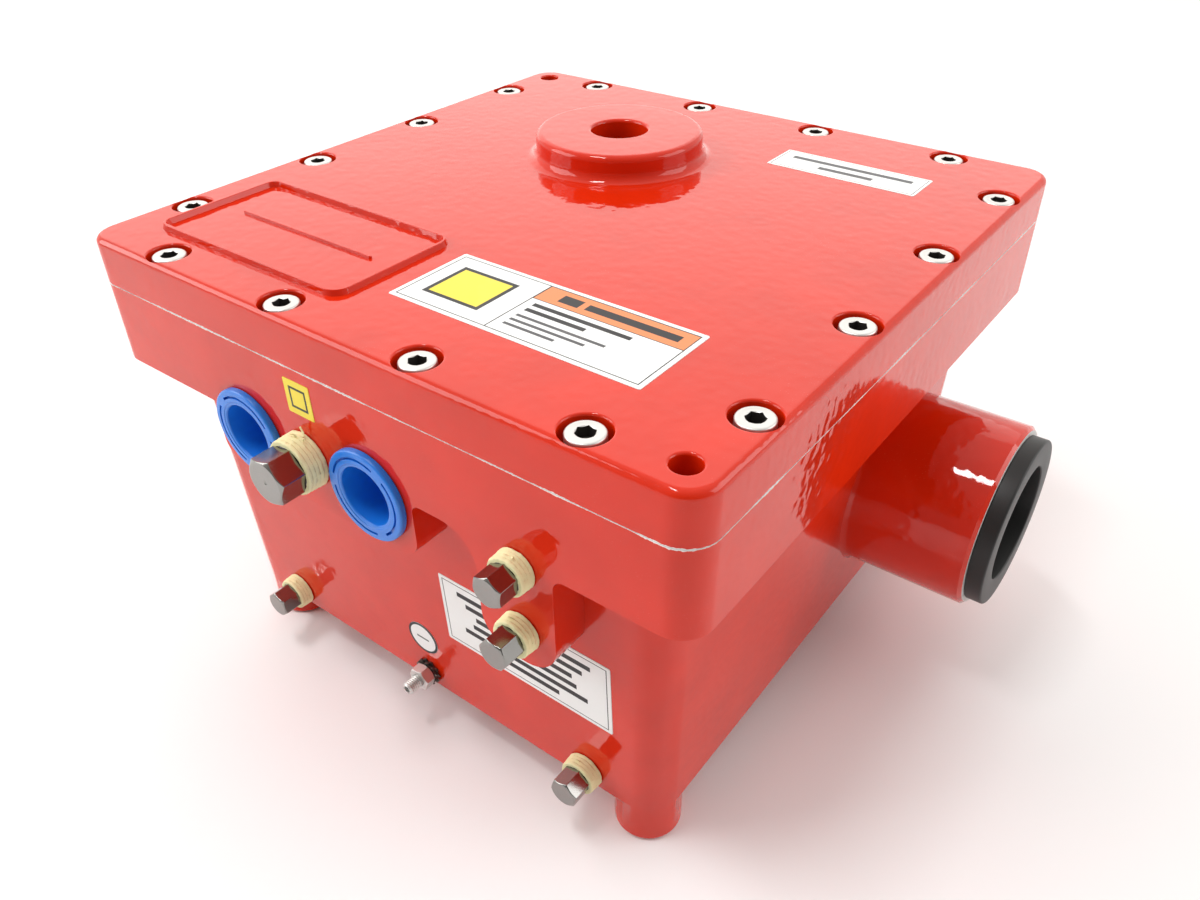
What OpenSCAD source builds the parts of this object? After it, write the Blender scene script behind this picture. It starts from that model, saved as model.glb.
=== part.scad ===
// Flameproof sighting-instrument housing: a square cast box with a bolted cover,
// a sight tube on its right side and an adjustable optical head inside.
// The origin is the centre of the four foot holes, on the plane of the feet.
// +X runs along the sight tube, -Y is the side with the entries, +Z is up.

/* [Cover] */
// Width of the cover and the flange, left to right
cover_w = 295; // [293:1:297]
// Depth of the cover and the flange, front to back
cover_d = 294; // [292:1:296]
// Thickness of the cover
cover_t = 19.6; // [19.6:0.2:20.6]
// Corner radius of the cover and the flange
corner_r = 12; // [8:1:14]
// Radius of the round sight boss on the cover
boss_r = 39; // [36:1:42]
// Height of the sight boss
boss_h = 12; // [10:1:14]
// Diameter of the sight hole in the boss
sight_hole_d = 26; // [24:1:27]

/* [Housing] */
// Height of the flange that the cover sits on
flange_h = 35.4; // [33:0.2:36]
// Width of the lower box at its floor
box_w = 243.6; // [242:0.2:245]
// Depth of the lower box at its floor
box_d = 255; // [254:0.5:256]
// Height of the lower box, from its floor to the flange
box_h = 129; // [129:1:130]
// Draft of the cast walls, in degrees
draft = 2.05; // [1.8:0.05:2.2]
// Thickness of the cast walls
wall_t = 9.2; // [8.8:0.2:9.6]
// Thickness of the floor
floor_t = 8; // [7:0.5:8]
// Radius of the feet and of the vertical corners of the box
foot_r = 13.8; // [13.6:0.1:14]
// Height of the feet below the floor
foot_h = 18; // [18:1:18]

/* [Sight tube] */
// Outer diameter of the sight tube
tube_d = 84; // [80:1:86]
// Distance from the foot pattern's centre to the tube's end
tube_end = 178.7; // [178:0.1:182]
// Free bore of the tube
tube_bore_d = 56; // [54:1:57]
// Outer diameter of the black retaining ring
ring_d = 77; // [74:1:78]
// Length of the ring outside the tube
ring_out = 7.5; // [6:0.5:9]
// Opening of the ring
ring_hole_d = 53; // [50:1:54]

/* [Entries] */
// Bore of the two conduit entries with blue plugs
conduit_bore_d = 26.6; // [26:0.1:27]
// Bore of the middle conduit entry
middle_bore_d = 21.4; // [21:0.1:22]
// Outer diameter of the blue plugs' flange
blue_flange_d = 38; // [36:0.2:38.2]
// Bore of the four gas ports
port_bore_d = 13.2; // [12.8:0.1:13.4]
// Width across flats of the large hex plug
big_hex_af = 18; // [17:0.5:19]
// Width across flats of the small hex plugs
small_hex_af = 11.5; // [11:0.5:12.5]

/* [Fasteners] */
// Shank diameter of the cover screws
screw_d = 8; // [8:1:8]
// Pitch of the four screws along each side
screw_pitch = 68.2; // [66:0.2:69]
// Distance from the screws to the edge of the cover
screw_inset = 9.6; // [9.4:0.1:10.4]
// Diameter of the ground stud
stud_d = 6; // [5:0.5:6]

/* [Optics] */
// Half the travel of the focusing barrel
focus_travel = 4; // [3:0.5:4]
// Outer diameter of the focusing barrel
barrel_d = 66; // [66:1:66]
// Module of the focusing rack and its pinion
gear_module = 1; // [1:1:1]
// Number of teeth on the pinion
pinion_teeth = 14; // [14:1:14]
// Radius of the chopper wheel
chopper_r = 34; // [32:1:34]

/* [Hidden] */
$fn = 96;
eps = 0.01;
cut = 1;
hull_fn = 32;

// Heights and centres of the cast shells
floor_z = foot_h;
flange_z = floor_z + box_h;
parting_z = flange_z + flange_h;
cover_z = parting_z + cover_t;
cover_x = -3.5;
inner_z = floor_z + floor_t;
foot_x = box_w / 2 - foot_r;
foot_y = box_d / 2 - foot_r;
front_y = -cover_d / 2;
box_front_y = -box_d / 2;

// Optical axis, mirror and sight hole
axis_y = 53.6;
axis_z = 81.3;
mirror_x = -29;
ring_spigot_r = 32.42;
window_seat_r = 32.5;
window_seat_x = tube_end - 16;
window_t = 8;
seal_t = 1.1;
glass_z = cover_z - 3;
glass_t = 10;
glass_seat_r = 19.5;

// Front entries, as [x, z]
blue_left = [-61.3, 141.8];
blue_right = [6.3, 141.8];
hex_entry = [-27.5, 143.2];
upper_ports = [[76.4, 143.6], [76.4, 115]];
lower_ports = [[-87.4, 27.5], [87.4, 27.5]];
// Gap that clears the leaning wall under a flat washer or a tape
lean_gap = 0.3;
label_t = 0.2;
stud_at = [0, 27.2];
stud_core_d = stud_d - 1;
nut_h = 5;
stud_reach = 14.5;
nut_seat = lean_gap + 2.4;
stud_step = nut_seat + nut_h + 0.2;
counterbore_r = 8.35;
counterbore_deep = 8.7;
screw_reach = 28.9;
corner_hole_r = 4.9;
corner_hole_inset = 13.1;
bore_gap = 0.06;
pad_left = [-84.2, 28];
pad_right = [57.6, 91.4];
pad_left_z = 120.4;
pad_right_z = 99.6;
plug_clear = 0.08;
tape_reach = 6;
conduit_tape_reach = 9;
conduit_tape_r = 11.7;
big_hex_h = 11;

// Bench and boards
bench_z = 40;
bench_t = 4;
bench_top = bench_z + bench_t;
bench_x = 106;
bench_y = [2, 114];
board_z = 58;
board_t = 1.6;
board_top = board_z + board_t;
board_x = 100;
board_y = [-110, -10];
standoff_r = 5;
bench_posts = [[-98, 12], [98, 12], [-98, 104], [98, 104]];
board_posts = [[-94, -104], [94, -104], [-94, -16], [94, -16]];

// Focus drive
pitch_r = gear_module * pinion_teeth / 2;
rack_x = 82;
rack_half = 9;
rack_top_y = axis_y - barrel_d / 2 - 4;
pinion_y = rack_top_y - gear_module - pitch_r + 1;
rack_back_y = axis_y - barrel_d / 2 + 1;
rack_z = 8;
barrel_x = [50, 106];
ring_pair_x = [54, rack_x + rack_half + focus_travel + 1];
ring_len = 9;

// Chopper
wheel_x = -64;
wheel_y = 80;
motor_r = 14;

function arc(cx, cy, r, a0, a1, n = 8) =
    [for (i = [0:n]) let (a = a0 + (a1 - a0) * i / n) [cx + r * cos(a), cy + r * sin(a)]];

// Depth of the drafted front wall at a height
function wall_y(z) = -box_d / 2 - (z - floor_z) * tan(draft);

// The 16 screw places: four along each side of the cover
function screw_places() = concat(
    [for (s = [-1, 1], i = [-1.5:1:1.5]) [cover_x + i * screw_pitch, s * (cover_d / 2 - screw_inset)]],
    [for (s = [-1, 1], i = [-1.5:1:1.5]) [cover_x + s * (cover_w / 2 - screw_inset), i * screw_pitch]]
);

// Rounded rectangle with true arcs at its corners
module rounded(w, d, r) {
    square([w - 2 * r, d], center = true);
    square([w, d - 2 * r], center = true);
    for (x = [-1, 1], y = [-1, 1])
        translate([x * (w / 2 - r), y * (d / 2 - r)])
            circle(r = r);
}

// Slab with rounded corners, standing on z
module slab(w, d, r, z, h) {
    translate([0, 0, z])
        linear_extrude(h)
            rounded(w, d, r);
}

// Box whose walls lean outwards by the draft angle as they rise
module drafted_box(w, d, r, z, h) {
    grow = 2 * h * tan(draft);
    hull() {
        translate([0, 0, z])
            linear_extrude(eps)
                rounded(w, d, r, $fn = hull_fn);
        translate([0, 0, z + h - eps])
            linear_extrude(eps)
                rounded(w + grow, d + grow, r, $fn = hull_fn);
    }
}

// Places its children with their +Z along +X
module along_x(x, y, z) {
    translate([x, y, z])
        rotate([0, 90, 0])
            children();
}

// Places its children with their +Z pointing out of the front, along -Y
module out_front(x, y, z) {
    translate([x, y, z])
        rotate([90, 0, 0])
            children();
}

// Flat ring
module ring(r_out, r_in, h) {
    difference() {
        cylinder(r = r_out, h = h);
        translate([0, 0, -cut])
            cylinder(r = r_in, h = h + 2 * cut);
    }
}

// Hexagon prism with its free end chamfered round
module hex_head(af, h, chamfer) {
    intersection() {
        cylinder(d = af / cos(30), h = h, $fn = 6);
        rotate_extrude()
            polygon([[0, 0], [af, 0], [af, h - chamfer - (af / 2) * 0.6],
                     [af / 2 - chamfer * 0.3, h], [0, h]]);
    }
}

// Round post with a blind screw hole in its top
module post(r, h) {
    difference() {
        cylinder(r = r, h = h);
        translate([0, 0, h - 10])
            cylinder(r = 1.65, h = 10 + cut);
    }
}

// Pan-head screw, head upwards, under-head plane at z = 0
module pan_screw(r, length) {
    difference() {
        union() {
            translate([0, 0, -length])
                cylinder(r = r, h = length);
            rotate_extrude()
                polygon(concat([[0, 0], [2 * r, 0]], arc(1.2 * r, 0.4 * r, 0.8 * r, 0, 90, 4), [[0, 1.2 * r]]));
        }
        translate([0, 0, 0.4 * r])
            cylinder(r = 0.75 * r, h = 2 * r, $fn = 6);
    }
}

// --- Cast shells -------------------------------------------------------

module foot() {
    round_r = 1.5;
    rotate_extrude()
        polygon(concat([[0, 0]], arc(foot_r - round_r, round_r, round_r, -90, 0, 5), [[foot_r, foot_h + 6], [0, foot_h + 6]]));
}

// Pad below the flange, flush with the flange's front
module front_pad(x, z, r) {
    w = x[1] - x[0];
    h = flange_z - z + 6;
    out_front((x[0] + x[1]) / 2, box_front_y + 8, z + h / 2)
        linear_extrude(box_front_y + 8 - front_y)
            rounded(w, h, r);
}

// Concave fillet between a pad's side and the flange's underside
module pad_fillet(x, r, side) {
    out_front(x, box_front_y + 8, flange_z)
        linear_extrude(box_front_y + 8 - front_y)
            difference() {
                translate([side > 0 ? 0 : -r, -r])
                    square([r, r + 2]);
                translate([side * r, -r])
                    circle(r = r);
            }
}

module sight_tube_outer() {
    root_r = 6;
    r = tube_d / 2;
    end_chamfer = 1.5;
    along_x(112, axis_y, axis_z)
        rotate_extrude()
            polygon(concat(
                [[0, 0], [r + root_r, 0], [r + root_r, 12]],
                arc(r + root_r, 12 + root_r, root_r, -90, -180, 6),
                [[r, tube_end - 112 - end_chamfer], [r - end_chamfer, tube_end - 112], [0, tube_end - 112]]
            ));
}

module housing_base() color("crimson") difference() {
    union() {
        translate([cover_x, 0, 0])
            slab(cover_w, cover_d, corner_r, flange_z, flange_h);
        drafted_box(box_w, box_d, foot_r, floor_z, box_h + 1);
        for (x = [-1, 1], y = [-1, 1])
            translate([x * foot_x, y * foot_y, 0])
                foot();
        front_pad(pad_left, pad_left_z, 9);
        front_pad(pad_right, pad_right_z, 14);
        pad_fillet(pad_left[1], 4, 1);
        pad_fillet(pad_right[0], 16, -1);
        pad_fillet(pad_right[1], 5, 1);
        sight_tube_outer();
    }
    // Inside of the box, up to the parting plane
    drafted_box(box_w - 2 * wall_t, box_d - 2 * wall_t, foot_r - 5, inner_z, parting_z - inner_z + cut);
    // Groove of the cover seal
    translate([0, 0, parting_z - 3])
        linear_extrude(3 + cut)
            seal_outline(2);
    for (p = screw_places())
        translate([p[0], p[1], parting_z - 22])
            cylinder(r = screw_d / 2 + bore_gap, h = 22 + cut);
    for (x = [-1, 1], y = [-1, 1])
        translate([x * foot_x, y * foot_y, -cut])
            cylinder(r = 3.4, h = 16 + cut);
    for (p = [blue_left, blue_right])
        out_front(p[0], box_front_y + 40, p[1])
            cylinder(d = conduit_bore_d, h = 80);
    out_front(hex_entry[0], box_front_y + 40, hex_entry[1])
        cylinder(d = middle_bore_d, h = 80);
    for (p = upper_ports)
        out_front(p[0], box_front_y + 40, p[1])
            cylinder(d = port_bore_d, h = 80);
    for (p = lower_ports)
        out_front(p[0], box_front_y + wall_t + 0.6, p[1])
            cylinder(d = port_bore_d, h = 40);
    out_front(stud_at[0], box_front_y + 10.2, stud_at[1])
        cylinder(d = stud_core_d + bore_gap, h = 40);
    // Bore of the sight tube and the seat of its window
    along_x(90, axis_y, axis_z)
        cylinder(d = tube_bore_d, h = 120);
    along_x(window_seat_x, axis_y, axis_z)
        cylinder(r = window_seat_r, h = 40);
    // Blind holes for the posts in the floor
    for (p = concat(bench_posts, board_posts))
        translate([p[0], p[1], inner_z - 5])
            cylinder(r = 2.03, h = 5 + cut);
}

// Centre line ring of the seal groove, with a half width
module seal_outline(half) {
    w = box_w + 3.4;
    d = box_d + 1.4;
    difference() {
        rounded(w + 2 * half, d + 2 * half, 12 + half);
        rounded(w - 2 * half, d - 2 * half, 12 - half);
    }
}

module cover_boss() {
    foot_fillet = 5;
    edge_r = 3;
    rotate_extrude()
        polygon(concat(
            [[0, -cut], [boss_r + foot_fillet, -cut]],
            arc(boss_r + foot_fillet, foot_fillet, foot_fillet, -90, -180, 7),
            arc(boss_r - edge_r, boss_h - edge_r, edge_r, 0, 90, 6),
            [[0, boss_h]]
        ));
}

// Raised frame of the cast name plate, with a plain bar inside
module name_plate() {
    plate_w = 111;
    plate_d = 61;
    rim = 3.6;
    translate([-77, -95.5, cover_z - cut])
        linear_extrude(cut + 2.2)
            difference() {
                rounded(plate_w, plate_d, 7);
                rounded(plate_w - 2 * rim, plate_d - 2 * rim, 4);
            }
    translate([-76, -95, cover_z - cut])
        linear_extrude(cut + 1.2)
            square([78, 1.6], center = true);
}

module cover() color("crimson") difference() {
    union() {
        translate([cover_x, 0, 0])
            slab(cover_w, cover_d, corner_r, parting_z, cover_t);
        translate([mirror_x, axis_y, cover_z])
            cover_boss();
        name_plate();
    }
    // Pocket in the underside, leaving a collar round the sight window
    difference() {
        slab(204, 216, 14, parting_z - cut, 5 + cut);
        translate([mirror_x, axis_y, parting_z - 2 * cut])
            cylinder(r = 29, h = 10);
    }
    for (p = screw_places())
        translate([p[0], p[1], parting_z - cut]) {
            cylinder(r = screw_d / 2 + 0.5, h = cover_t + 2 * cut);
            translate([0, 0, cut + cover_t - counterbore_deep])
                cylinder(r = counterbore_r, h = 10);
        }
    // Two plain holes at opposite corners
    for (s = [-1, 1])
        translate([
            cover_x + s * (cover_w / 2 - corner_hole_inset),
            -s * (cover_d / 2 - corner_hole_inset),
            parting_z - cut
        ])
            cylinder(r = corner_hole_r, h = cover_t + 2 * cut);
    translate([mirror_x, axis_y, parting_z - cut]) {
        cylinder(d = sight_hole_d, h = cover_t + boss_h + 2 * cut);
        cylinder(r = glass_seat_r, h = glass_z + 0.7 - parting_z + cut);
        cylinder(r = glass_seat_r + 2.5, h = glass_z - glass_t - parting_z + cut);
    }
}

module cover_screw() {
    head_r = 6.5;
    head_h = 8;
    chamfer = 0.7;
    difference() {
        union() {
            rotate_extrude()
                polygon([[0, 0], [head_r, 0], [head_r, head_h - chamfer], [head_r - chamfer, head_h], [0, head_h]]);
            translate([0, 0, -screw_reach])
                cylinder(d = screw_d, h = 29);
        }
        translate([0, 0, head_h - 4])
            cylinder(d = 6 / cos(30), h = 4 + cut, $fn = 6);
    }
}

module cover_screws() color("silver")
    for (p = screw_places())
        translate([p[0], p[1], cover_z - counterbore_deep])
            cover_screw();

module cover_seal() color("black")
    translate([0, 0, parting_z - 3])
        linear_extrude(3)
            seal_outline(1.9);

// --- Sight window in the cover -----------------------------------------

module sight_window() color("darkslategray")
    translate([mirror_x, axis_y, glass_z - glass_t])
        cylinder(r = glass_seat_r - 0.2, h = glass_t);

module sight_window_seal() color("black")
    translate([mirror_x, axis_y, glass_z])
        ring(glass_seat_r - 0.2, sight_hole_d / 2 + 1.5, 0.7);

module sight_window_nut() color("dimgray") difference() {
    translate([mirror_x, axis_y, parting_z + 0.4])
        ring(glass_seat_r + 2.4, 14, glass_z - glass_t - parting_z - 0.4);
    for (a = [0, 180])
        translate([mirror_x, axis_y, parting_z + 0.3])
            rotate([0, 0, a])
                translate([17.5, 0, 0])
                    cylinder(r = 1.5, h = 3);
}

// --- Front of the sight tube -------------------------------------------

module lens_ring() color("black")
    along_x(tube_end, axis_y, axis_z)
        rotate_extrude()
            polygon([
                [ring_hole_d / 2, -7], [ring_spigot_r, -7], [ring_spigot_r, 0],
                [ring_d / 2, 0], [ring_d / 2, ring_out - 1], [ring_d / 2 - 1, ring_out],
                [ring_hole_d / 2 + 0.6, ring_out], [ring_hole_d / 2, ring_out - 0.6]
            ]);

module front_window() color("lightcyan")
    along_x(window_seat_x + seal_t - 0.2, axis_y, axis_z)
        cylinder(r = window_seat_r - 0.3, h = window_t);

module front_window_seal() color("black")
    along_x(window_seat_x, axis_y, axis_z)
        ring(window_seat_r - 0.3, tube_bore_d / 2 + 0.4, seal_t - 0.2);

// --- Entries on the front ----------------------------------------------

// Blue transport plug: a deep cup with a slotted flange
module blue_plug(place) {
    flange_r = blue_flange_d / 2;
    flange_t = 3;
    stem_len = 20;
    cup_r = conduit_bore_d / 2 - 1.1;
    out_front(place[0], front_y, place[1])
        difference() {
            union() {
                translate([0, 0, -stem_len])
                    cylinder(r = conduit_bore_d / 2 - plug_clear, h = stem_len + flange_t);
                rotate_extrude()
                    polygon(concat([[10, 0], [flange_r, 0]], arc(flange_r - 1, flange_t - 1, 1, 0, 90, 4), [[10, flange_t]]));
            }
            translate([0, 0, -stem_len + 2])
                cylinder(r = cup_r, h = stem_len + flange_t + cut);
            // Arc slots in the flange's face, with three bridges
            translate([0, 0, flange_t - 1.2])
                linear_extrude(1.2 + cut)
                    difference() {
                        circle(r = flange_r - 2.6);
                        circle(r = flange_r - 3.7);
                        for (a = [20, 140, 260])
                            rotate(a)
                                translate([0, -2.5])
                                    square([flange_r, 5]);
                    }
        }
}

module conduit_plug_left() color("dodgerblue") blue_plug(blue_left);
module conduit_plug_right() color("dodgerblue") blue_plug(blue_right);

// Threaded hex plug: stem in the wall, tape length outside, hex head
module hex_plug(stem_r, stem_len, tape_len, af, head_h) {
    translate([0, 0, -stem_len])
        cylinder(r = stem_r, h = stem_len + tape_len + 0.2);
    translate([0, 0, tape_len])
        hex_head(af, head_h, 1.4);
}

// Wound sealing tape round a plug's thread, thinner towards the head
module tape_wrap(r_in, r_out, length) {
    turns = 4;
    step = length / turns;
    taper = 0.35 * (r_out - r_in);
    groove = 0.3 * (r_out - r_in);
    rotate_extrude()
        polygon(concat(
            [[r_in, 0.1]],
            [for (i = [0:turns - 1], p = [[groove, 0.1], [0, step / 2], [groove, step - 0.1]])
                [r_out - taper * i / turns - p[0], i * step + p[1]]],
            [[r_in, length - 0.1]]
        ));
}

module conduit_hex_plug() color("silver")
    out_front(hex_entry[0], front_y, hex_entry[1])
        rotate([0, 0, 12])
            hex_plug(middle_bore_d / 2 - plug_clear, 16, conduit_tape_reach, big_hex_af, big_hex_h);

module conduit_tape() color("khaki")
    out_front(hex_entry[0], front_y, hex_entry[1])
        tape_wrap(middle_bore_d / 2, conduit_tape_r, conduit_tape_reach);

// All four gas ports, each with its children placed on the outer face
module at_ports() {
    for (i = [0:1])
        out_front(upper_ports[i][0], front_y, upper_ports[i][1])
            rotate([0, 0, 25 + 30 * i])
                children();
    for (i = [0:1])
        out_front(lower_ports[i][0], wall_y(lower_ports[i][1]) - lean_gap, lower_ports[i][1])
            rotate([0, 0, 40 - 25 * i])
                children();
}

module port_hex_plugs() color("silver")
    at_ports()
        hex_plug(port_bore_d / 2 - plug_clear, 8, tape_reach, small_hex_af, 9);

module port_tapes() color("khaki")
    at_ports()
        tape_wrap(port_bore_d / 2, 8.2, tape_reach);

// Stud with a full thread outside the nut and a thinner one in the nut and the wall
module ground_stud() color("silver")
    out_front(stud_at[0], wall_y(stud_at[1]), stud_at[1])
        difference() {
            union() {
                translate([0, 0, -10])
                    cylinder(d = stud_core_d, h = 10 + stud_step + eps);
                translate([0, 0, stud_step])
                    cylinder(d = stud_d, h = stud_reach - stud_step);
            }
            translate([0, 0, stud_reach - 2.5])
                cylinder(d = 3 / cos(30), h = 3, $fn = 6);
        }

module ground_nut() color("silver")
    out_front(stud_at[0], wall_y(stud_at[1]) - nut_seat, stud_at[1])
        difference() {
            hex_head(10, 5, 0.6);
            translate([0, 0, -cut])
                cylinder(d = stud_core_d + bore_gap, h = 8);
        }

// Two toothed washers under the nut
module ground_washers() color("dimgray")
    for (i = [0:1])
        out_front(stud_at[0], wall_y(stud_at[1]) - lean_gap - 1.2 * i, stud_at[1])
            linear_extrude(1.1)
                difference() {
                    union() {
                        circle(r = 5);
                        for (a = [0:36:324])
                            rotate(a + 12 * i)
                                translate([5, 0])
                                    square([2.6, 1.8], center = true);
                    }
                    circle(r = stud_d / 2 + 0.2);
                }

// --- Optical bench -----------------------------------------------------

module optical_bench() color("slategray") difference() {
    translate([-bench_x, bench_y[0], bench_z])
        cube([2 * bench_x, bench_y[1] - bench_y[0], bench_t]);
    for (p = bench_posts)
        translate([p[0], p[1], bench_z - cut])
            cylinder(r = 2.1, h = bench_t + 2 * cut);
}

module bench_standoffs() color("silver")
    for (p = bench_posts)
        translate([p[0], p[1], inner_z]) {
            post(standoff_r, bench_z - inner_z);
            translate([0, 0, -4.8])
                cylinder(r = 2, h = 5);
        }

module bench_screws() color("silver")
    for (p = bench_posts)
        translate([p[0], p[1], bench_top])
            pan_screw(1.6, 12);

// Two clamp rings on one foot, which guide the focusing barrel
module lens_mount() color("dimgray") difference() {
    union() {
        for (x = ring_pair_x) {
            along_x(x, axis_y, axis_z)
                cylinder(r = barrel_d / 2 + 4.2, h = ring_len);
            translate([x, axis_y - 30, bench_top])
                cube([ring_len, 60, 20]);
        }
        translate([ring_pair_x[0], axis_y - 30, bench_top])
            cube([ring_pair_x[1] + ring_len - ring_pair_x[0], 60, 3]);
    }
    along_x(ring_pair_x[0] - cut, axis_y, axis_z)
        cylinder(r = barrel_d / 2 + bore_gap, h = 60);
}

module focus_barrel() color("black") difference() {
    along_x(barrel_x[0], axis_y, axis_z)
        ring(barrel_d / 2, 28.5, barrel_x[1] - barrel_x[0]);
    along_x(barrel_x[1] - 14, axis_y, axis_z)
        cylinder(r = 30, h = 20);
    // Flat that the rack is screwed to
    translate([barrel_x[0] - cut, rack_back_y - 10, axis_z - 20])
        cube([100, 10, 40]);
}

module objective_lens() color("lightcyan")
    along_x(barrel_x[1] - 14, axis_y, axis_z)
        rotate_extrude()
            polygon(concat(
                [[0, 0.4], [29.9, 0.4], [29.9, 4]],
                [for (i = [0:6]) [29.9 * (1 - i / 6), 9 - 5 * pow(1 - i / 6, 2)]]
            ));

module lens_retainer() color("dimgray")
    along_x(barrel_x[1] - 4.5, axis_y, axis_z)
        ring(29.95, 27, 4);

// Rack on the barrel's side, teeth towards -Y
module focus_rack() color("darkgoldenrod") {
    pitch = PI * gear_module;
    translate([rack_x, rack_top_y, axis_z - rack_z / 2])
        linear_extrude(rack_z) {
            translate([-rack_half, 1.2])
                square([2 * rack_half, rack_back_y - rack_top_y - 1.2]);
            for (i = [-2.5:1:2.5])
                translate([i * pitch, 0])
                    polygon([[-1.05, 1.3], [-0.3, -0.9], [0.3, -0.9], [1.05, 1.3]]);
        }
}

module pinion_bracket() color("dimgray") difference() {
    translate([rack_x - 9, pinion_y - 8, bench_top])
        cube([18, 15, axis_z - rack_z / 2 - 1 - bench_top]);
    translate([rack_x, pinion_y, bench_top + 4])
        cylinder(r = 3.05, h = 60);
}

// Pinion and its upright shaft
module focus_pinion() color("goldenrod") {
    translate([rack_x, pinion_y, 0]) {
        translate([0, 0, bench_top + 5])
            cylinder(r = 3, h = 84);
        translate([0, 0, axis_z - rack_z / 2])
            linear_extrude(rack_z) {
                circle(r = pitch_r - 1.3);
                for (i = [0:pinion_teeth - 1])
                    rotate(90 + i * 360 / pinion_teeth)
                        polygon([[pitch_r - 1.6, -0.85], [pitch_r + 0.8, -0.3], [pitch_r + 0.8, 0.3], [pitch_r - 1.6, 0.85]]);
            }
    }
}

module focus_knob() color("black")
    translate([rack_x, pinion_y, 120])
        difference() {
            linear_extrude(14)
                difference() {
                    circle(r = 15);
                    for (a = [0:15:345])
                        rotate(a)
                            translate([15.4, 0])
                                circle(r = 1, $fn = 24);
                }
            translate([0, 0, -cut])
                cylinder(r = 3.03, h = 14);
        }

// Cheeks and top bridge that carry the mirror and the eyepiece
module mirror_mount() color("dimgray") difference() {
    union() {
        for (s = [-1, 1])
            translate([mirror_x - 26, axis_y + s * 24 - 2, bench_top])
                cube([52, 4, 62]);
        translate([mirror_x - 26, axis_y - 26, bench_top])
            cube([52, 52, 4]);
        translate([mirror_x - 18, axis_y - 26, bench_top + 62])
            cube([36, 52, 6]);
    }
    translate([mirror_x, axis_y, bench_top + 50])
        cylinder(r = 15.03, h = 30);
}

module beam_splitter() color("lightsteelblue")
    translate([mirror_x, axis_y, axis_z])
        rotate([0, -45, 0])
            translate([-1, -21.9, -24])
                cube([2, 43.8, 48]);

module eyepiece_barrel() color("black")
    translate([mirror_x, axis_y, bench_top + 62])
        ring(14.98, 12, 62);

module eyepiece_lens() color("lightcyan")
    translate([mirror_x, axis_y, bench_top + 112])
        cylinder(r = 11.98, h = 5);

// --- Chopper and detector ----------------------------------------------

module motor_bracket() color("silver") difference() {
    union() {
        translate([wheel_x - 8, wheel_y - 12, bench_top])
            cube([3, 34, axis_z + 16 - bench_top]);
        translate([wheel_x - 26, wheel_y - 12, bench_top])
            cube([20, 34, 3]);
    }
    along_x(wheel_x - 12, wheel_y, axis_z)
        cylinder(r = 4, h = 12);
}

module chopper_motor() color("gray") difference() {
    along_x(wheel_x - 40, wheel_y, axis_z)
        cylinder(r = motor_r, h = 32);
    along_x(wheel_x - 34, wheel_y, axis_z)
        cylinder(r = 1.55, h = 40);
}

module chopper_shaft() color("silver")
    along_x(wheel_x - 33.5, wheel_y, axis_z)
        cylinder(r = 1.5, h = 36.5);

// Disc with six round windows at the beam's radius
module chopper_wheel() color("dimgray") {
    beam_r = wheel_y - axis_y;
    along_x(wheel_x, wheel_y, axis_z) {
        linear_extrude(1.2)
            difference() {
                circle(r = chopper_r);
                circle(r = 1.5);
                for (a = [0:60:300])
                    rotate(a)
                        translate([0, beam_r])
                            circle(r = 6);
            }
        translate([0, 0, 1.2])
            ring(5, 1.5, 3.8);
    }
}

module detector_bracket() color("silver") difference() {
    union() {
        translate([-90, axis_y - 12, bench_top])
            cube([3, 22, axis_z + 12 - bench_top]);
        translate([-104, axis_y - 12, bench_top])
            cube([17, 22, 3]);
    }
    along_x(-95, axis_y, axis_z)
        cylinder(r = 9.02, h = 12);
}

module detector_module() color("gold") difference() {
    union() {
        along_x(-94, axis_y, axis_z)
            cylinder(r = 9, h = 18);
        along_x(-87, axis_y, axis_z)
            cylinder(r = 11.5, h = 4);
    }
    along_x(-84, axis_y, axis_z)
        cylinder(r = 5, h = 10);
}

module detector_board() color("darkgreen")
    translate([-95.6, axis_y - 16, axis_z - 16])
        cube([1.6, 28, 40]);

// --- Electronics -------------------------------------------------------

module main_board() color("darkgreen") difference() {
    translate([-board_x, board_y[0], board_z])
        cube([2 * board_x, board_y[1] - board_y[0], board_t]);
    for (p = board_posts)
        translate([p[0], p[1], board_z - cut])
            cylinder(r = 1.8, h = board_t + 2 * cut);
}

module board_standoffs() color("silver")
    for (p = board_posts)
        translate([p[0], p[1], inner_z]) {
            post(4, board_z - inner_z);
            translate([0, 0, -4.8])
                cylinder(r = 2, h = 5);
        }

module board_screws() color("silver")
    for (p = board_posts)
        translate([p[0], p[1], board_top])
            pan_screw(1.6, 8);

module power_module() color("black")
    translate([-84, -78, board_top]) {
        cube([76, 46, 26]);
        translate([4, 4, 26])
            for (i = [0:6])
                translate([i * 10.4, 0, 0])
                    cube([3, 38, 6]);
    }

module capacitors() color("navy")
    for (i = [0:3])
        translate([10 + 18 * i, -40, board_top])
            cylinder(r = 6.5, h = 24);

module terminal_block() color("darkolivegreen") difference() {
    translate([-66, -108, board_top])
        cube([132, 18, 16]);
    for (i = [0:11])
        translate([-60.5 + 11 * i, -100, board_top + 8])
            cylinder(r = 3.2, h = 10);
    for (i = [0:11])
        translate([-64 + 11 * i, -109, board_top + 2])
            cube([7, 5, 6]);
}

module terminal_screws() color("silver")
    for (i = [0:11])
        translate([-60.5 + 11 * i, -100, board_top + 8])
            difference() {
                cylinder(r = 3, h = 4);
                translate([-4, -0.5, 3])
                    cube([8, 1, 2]);
            }

// --- Labels and stickers, all of them blank ----------------------------

// Film of a given size, its lower face on z = 0
module film(w, d, r) {
    linear_extrude(label_t)
        rounded(w, d, r);
}

module cover_label() color("white")
    translate([44.2, -91, cover_z])
        film(110.2, 40.4, 2);

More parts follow.
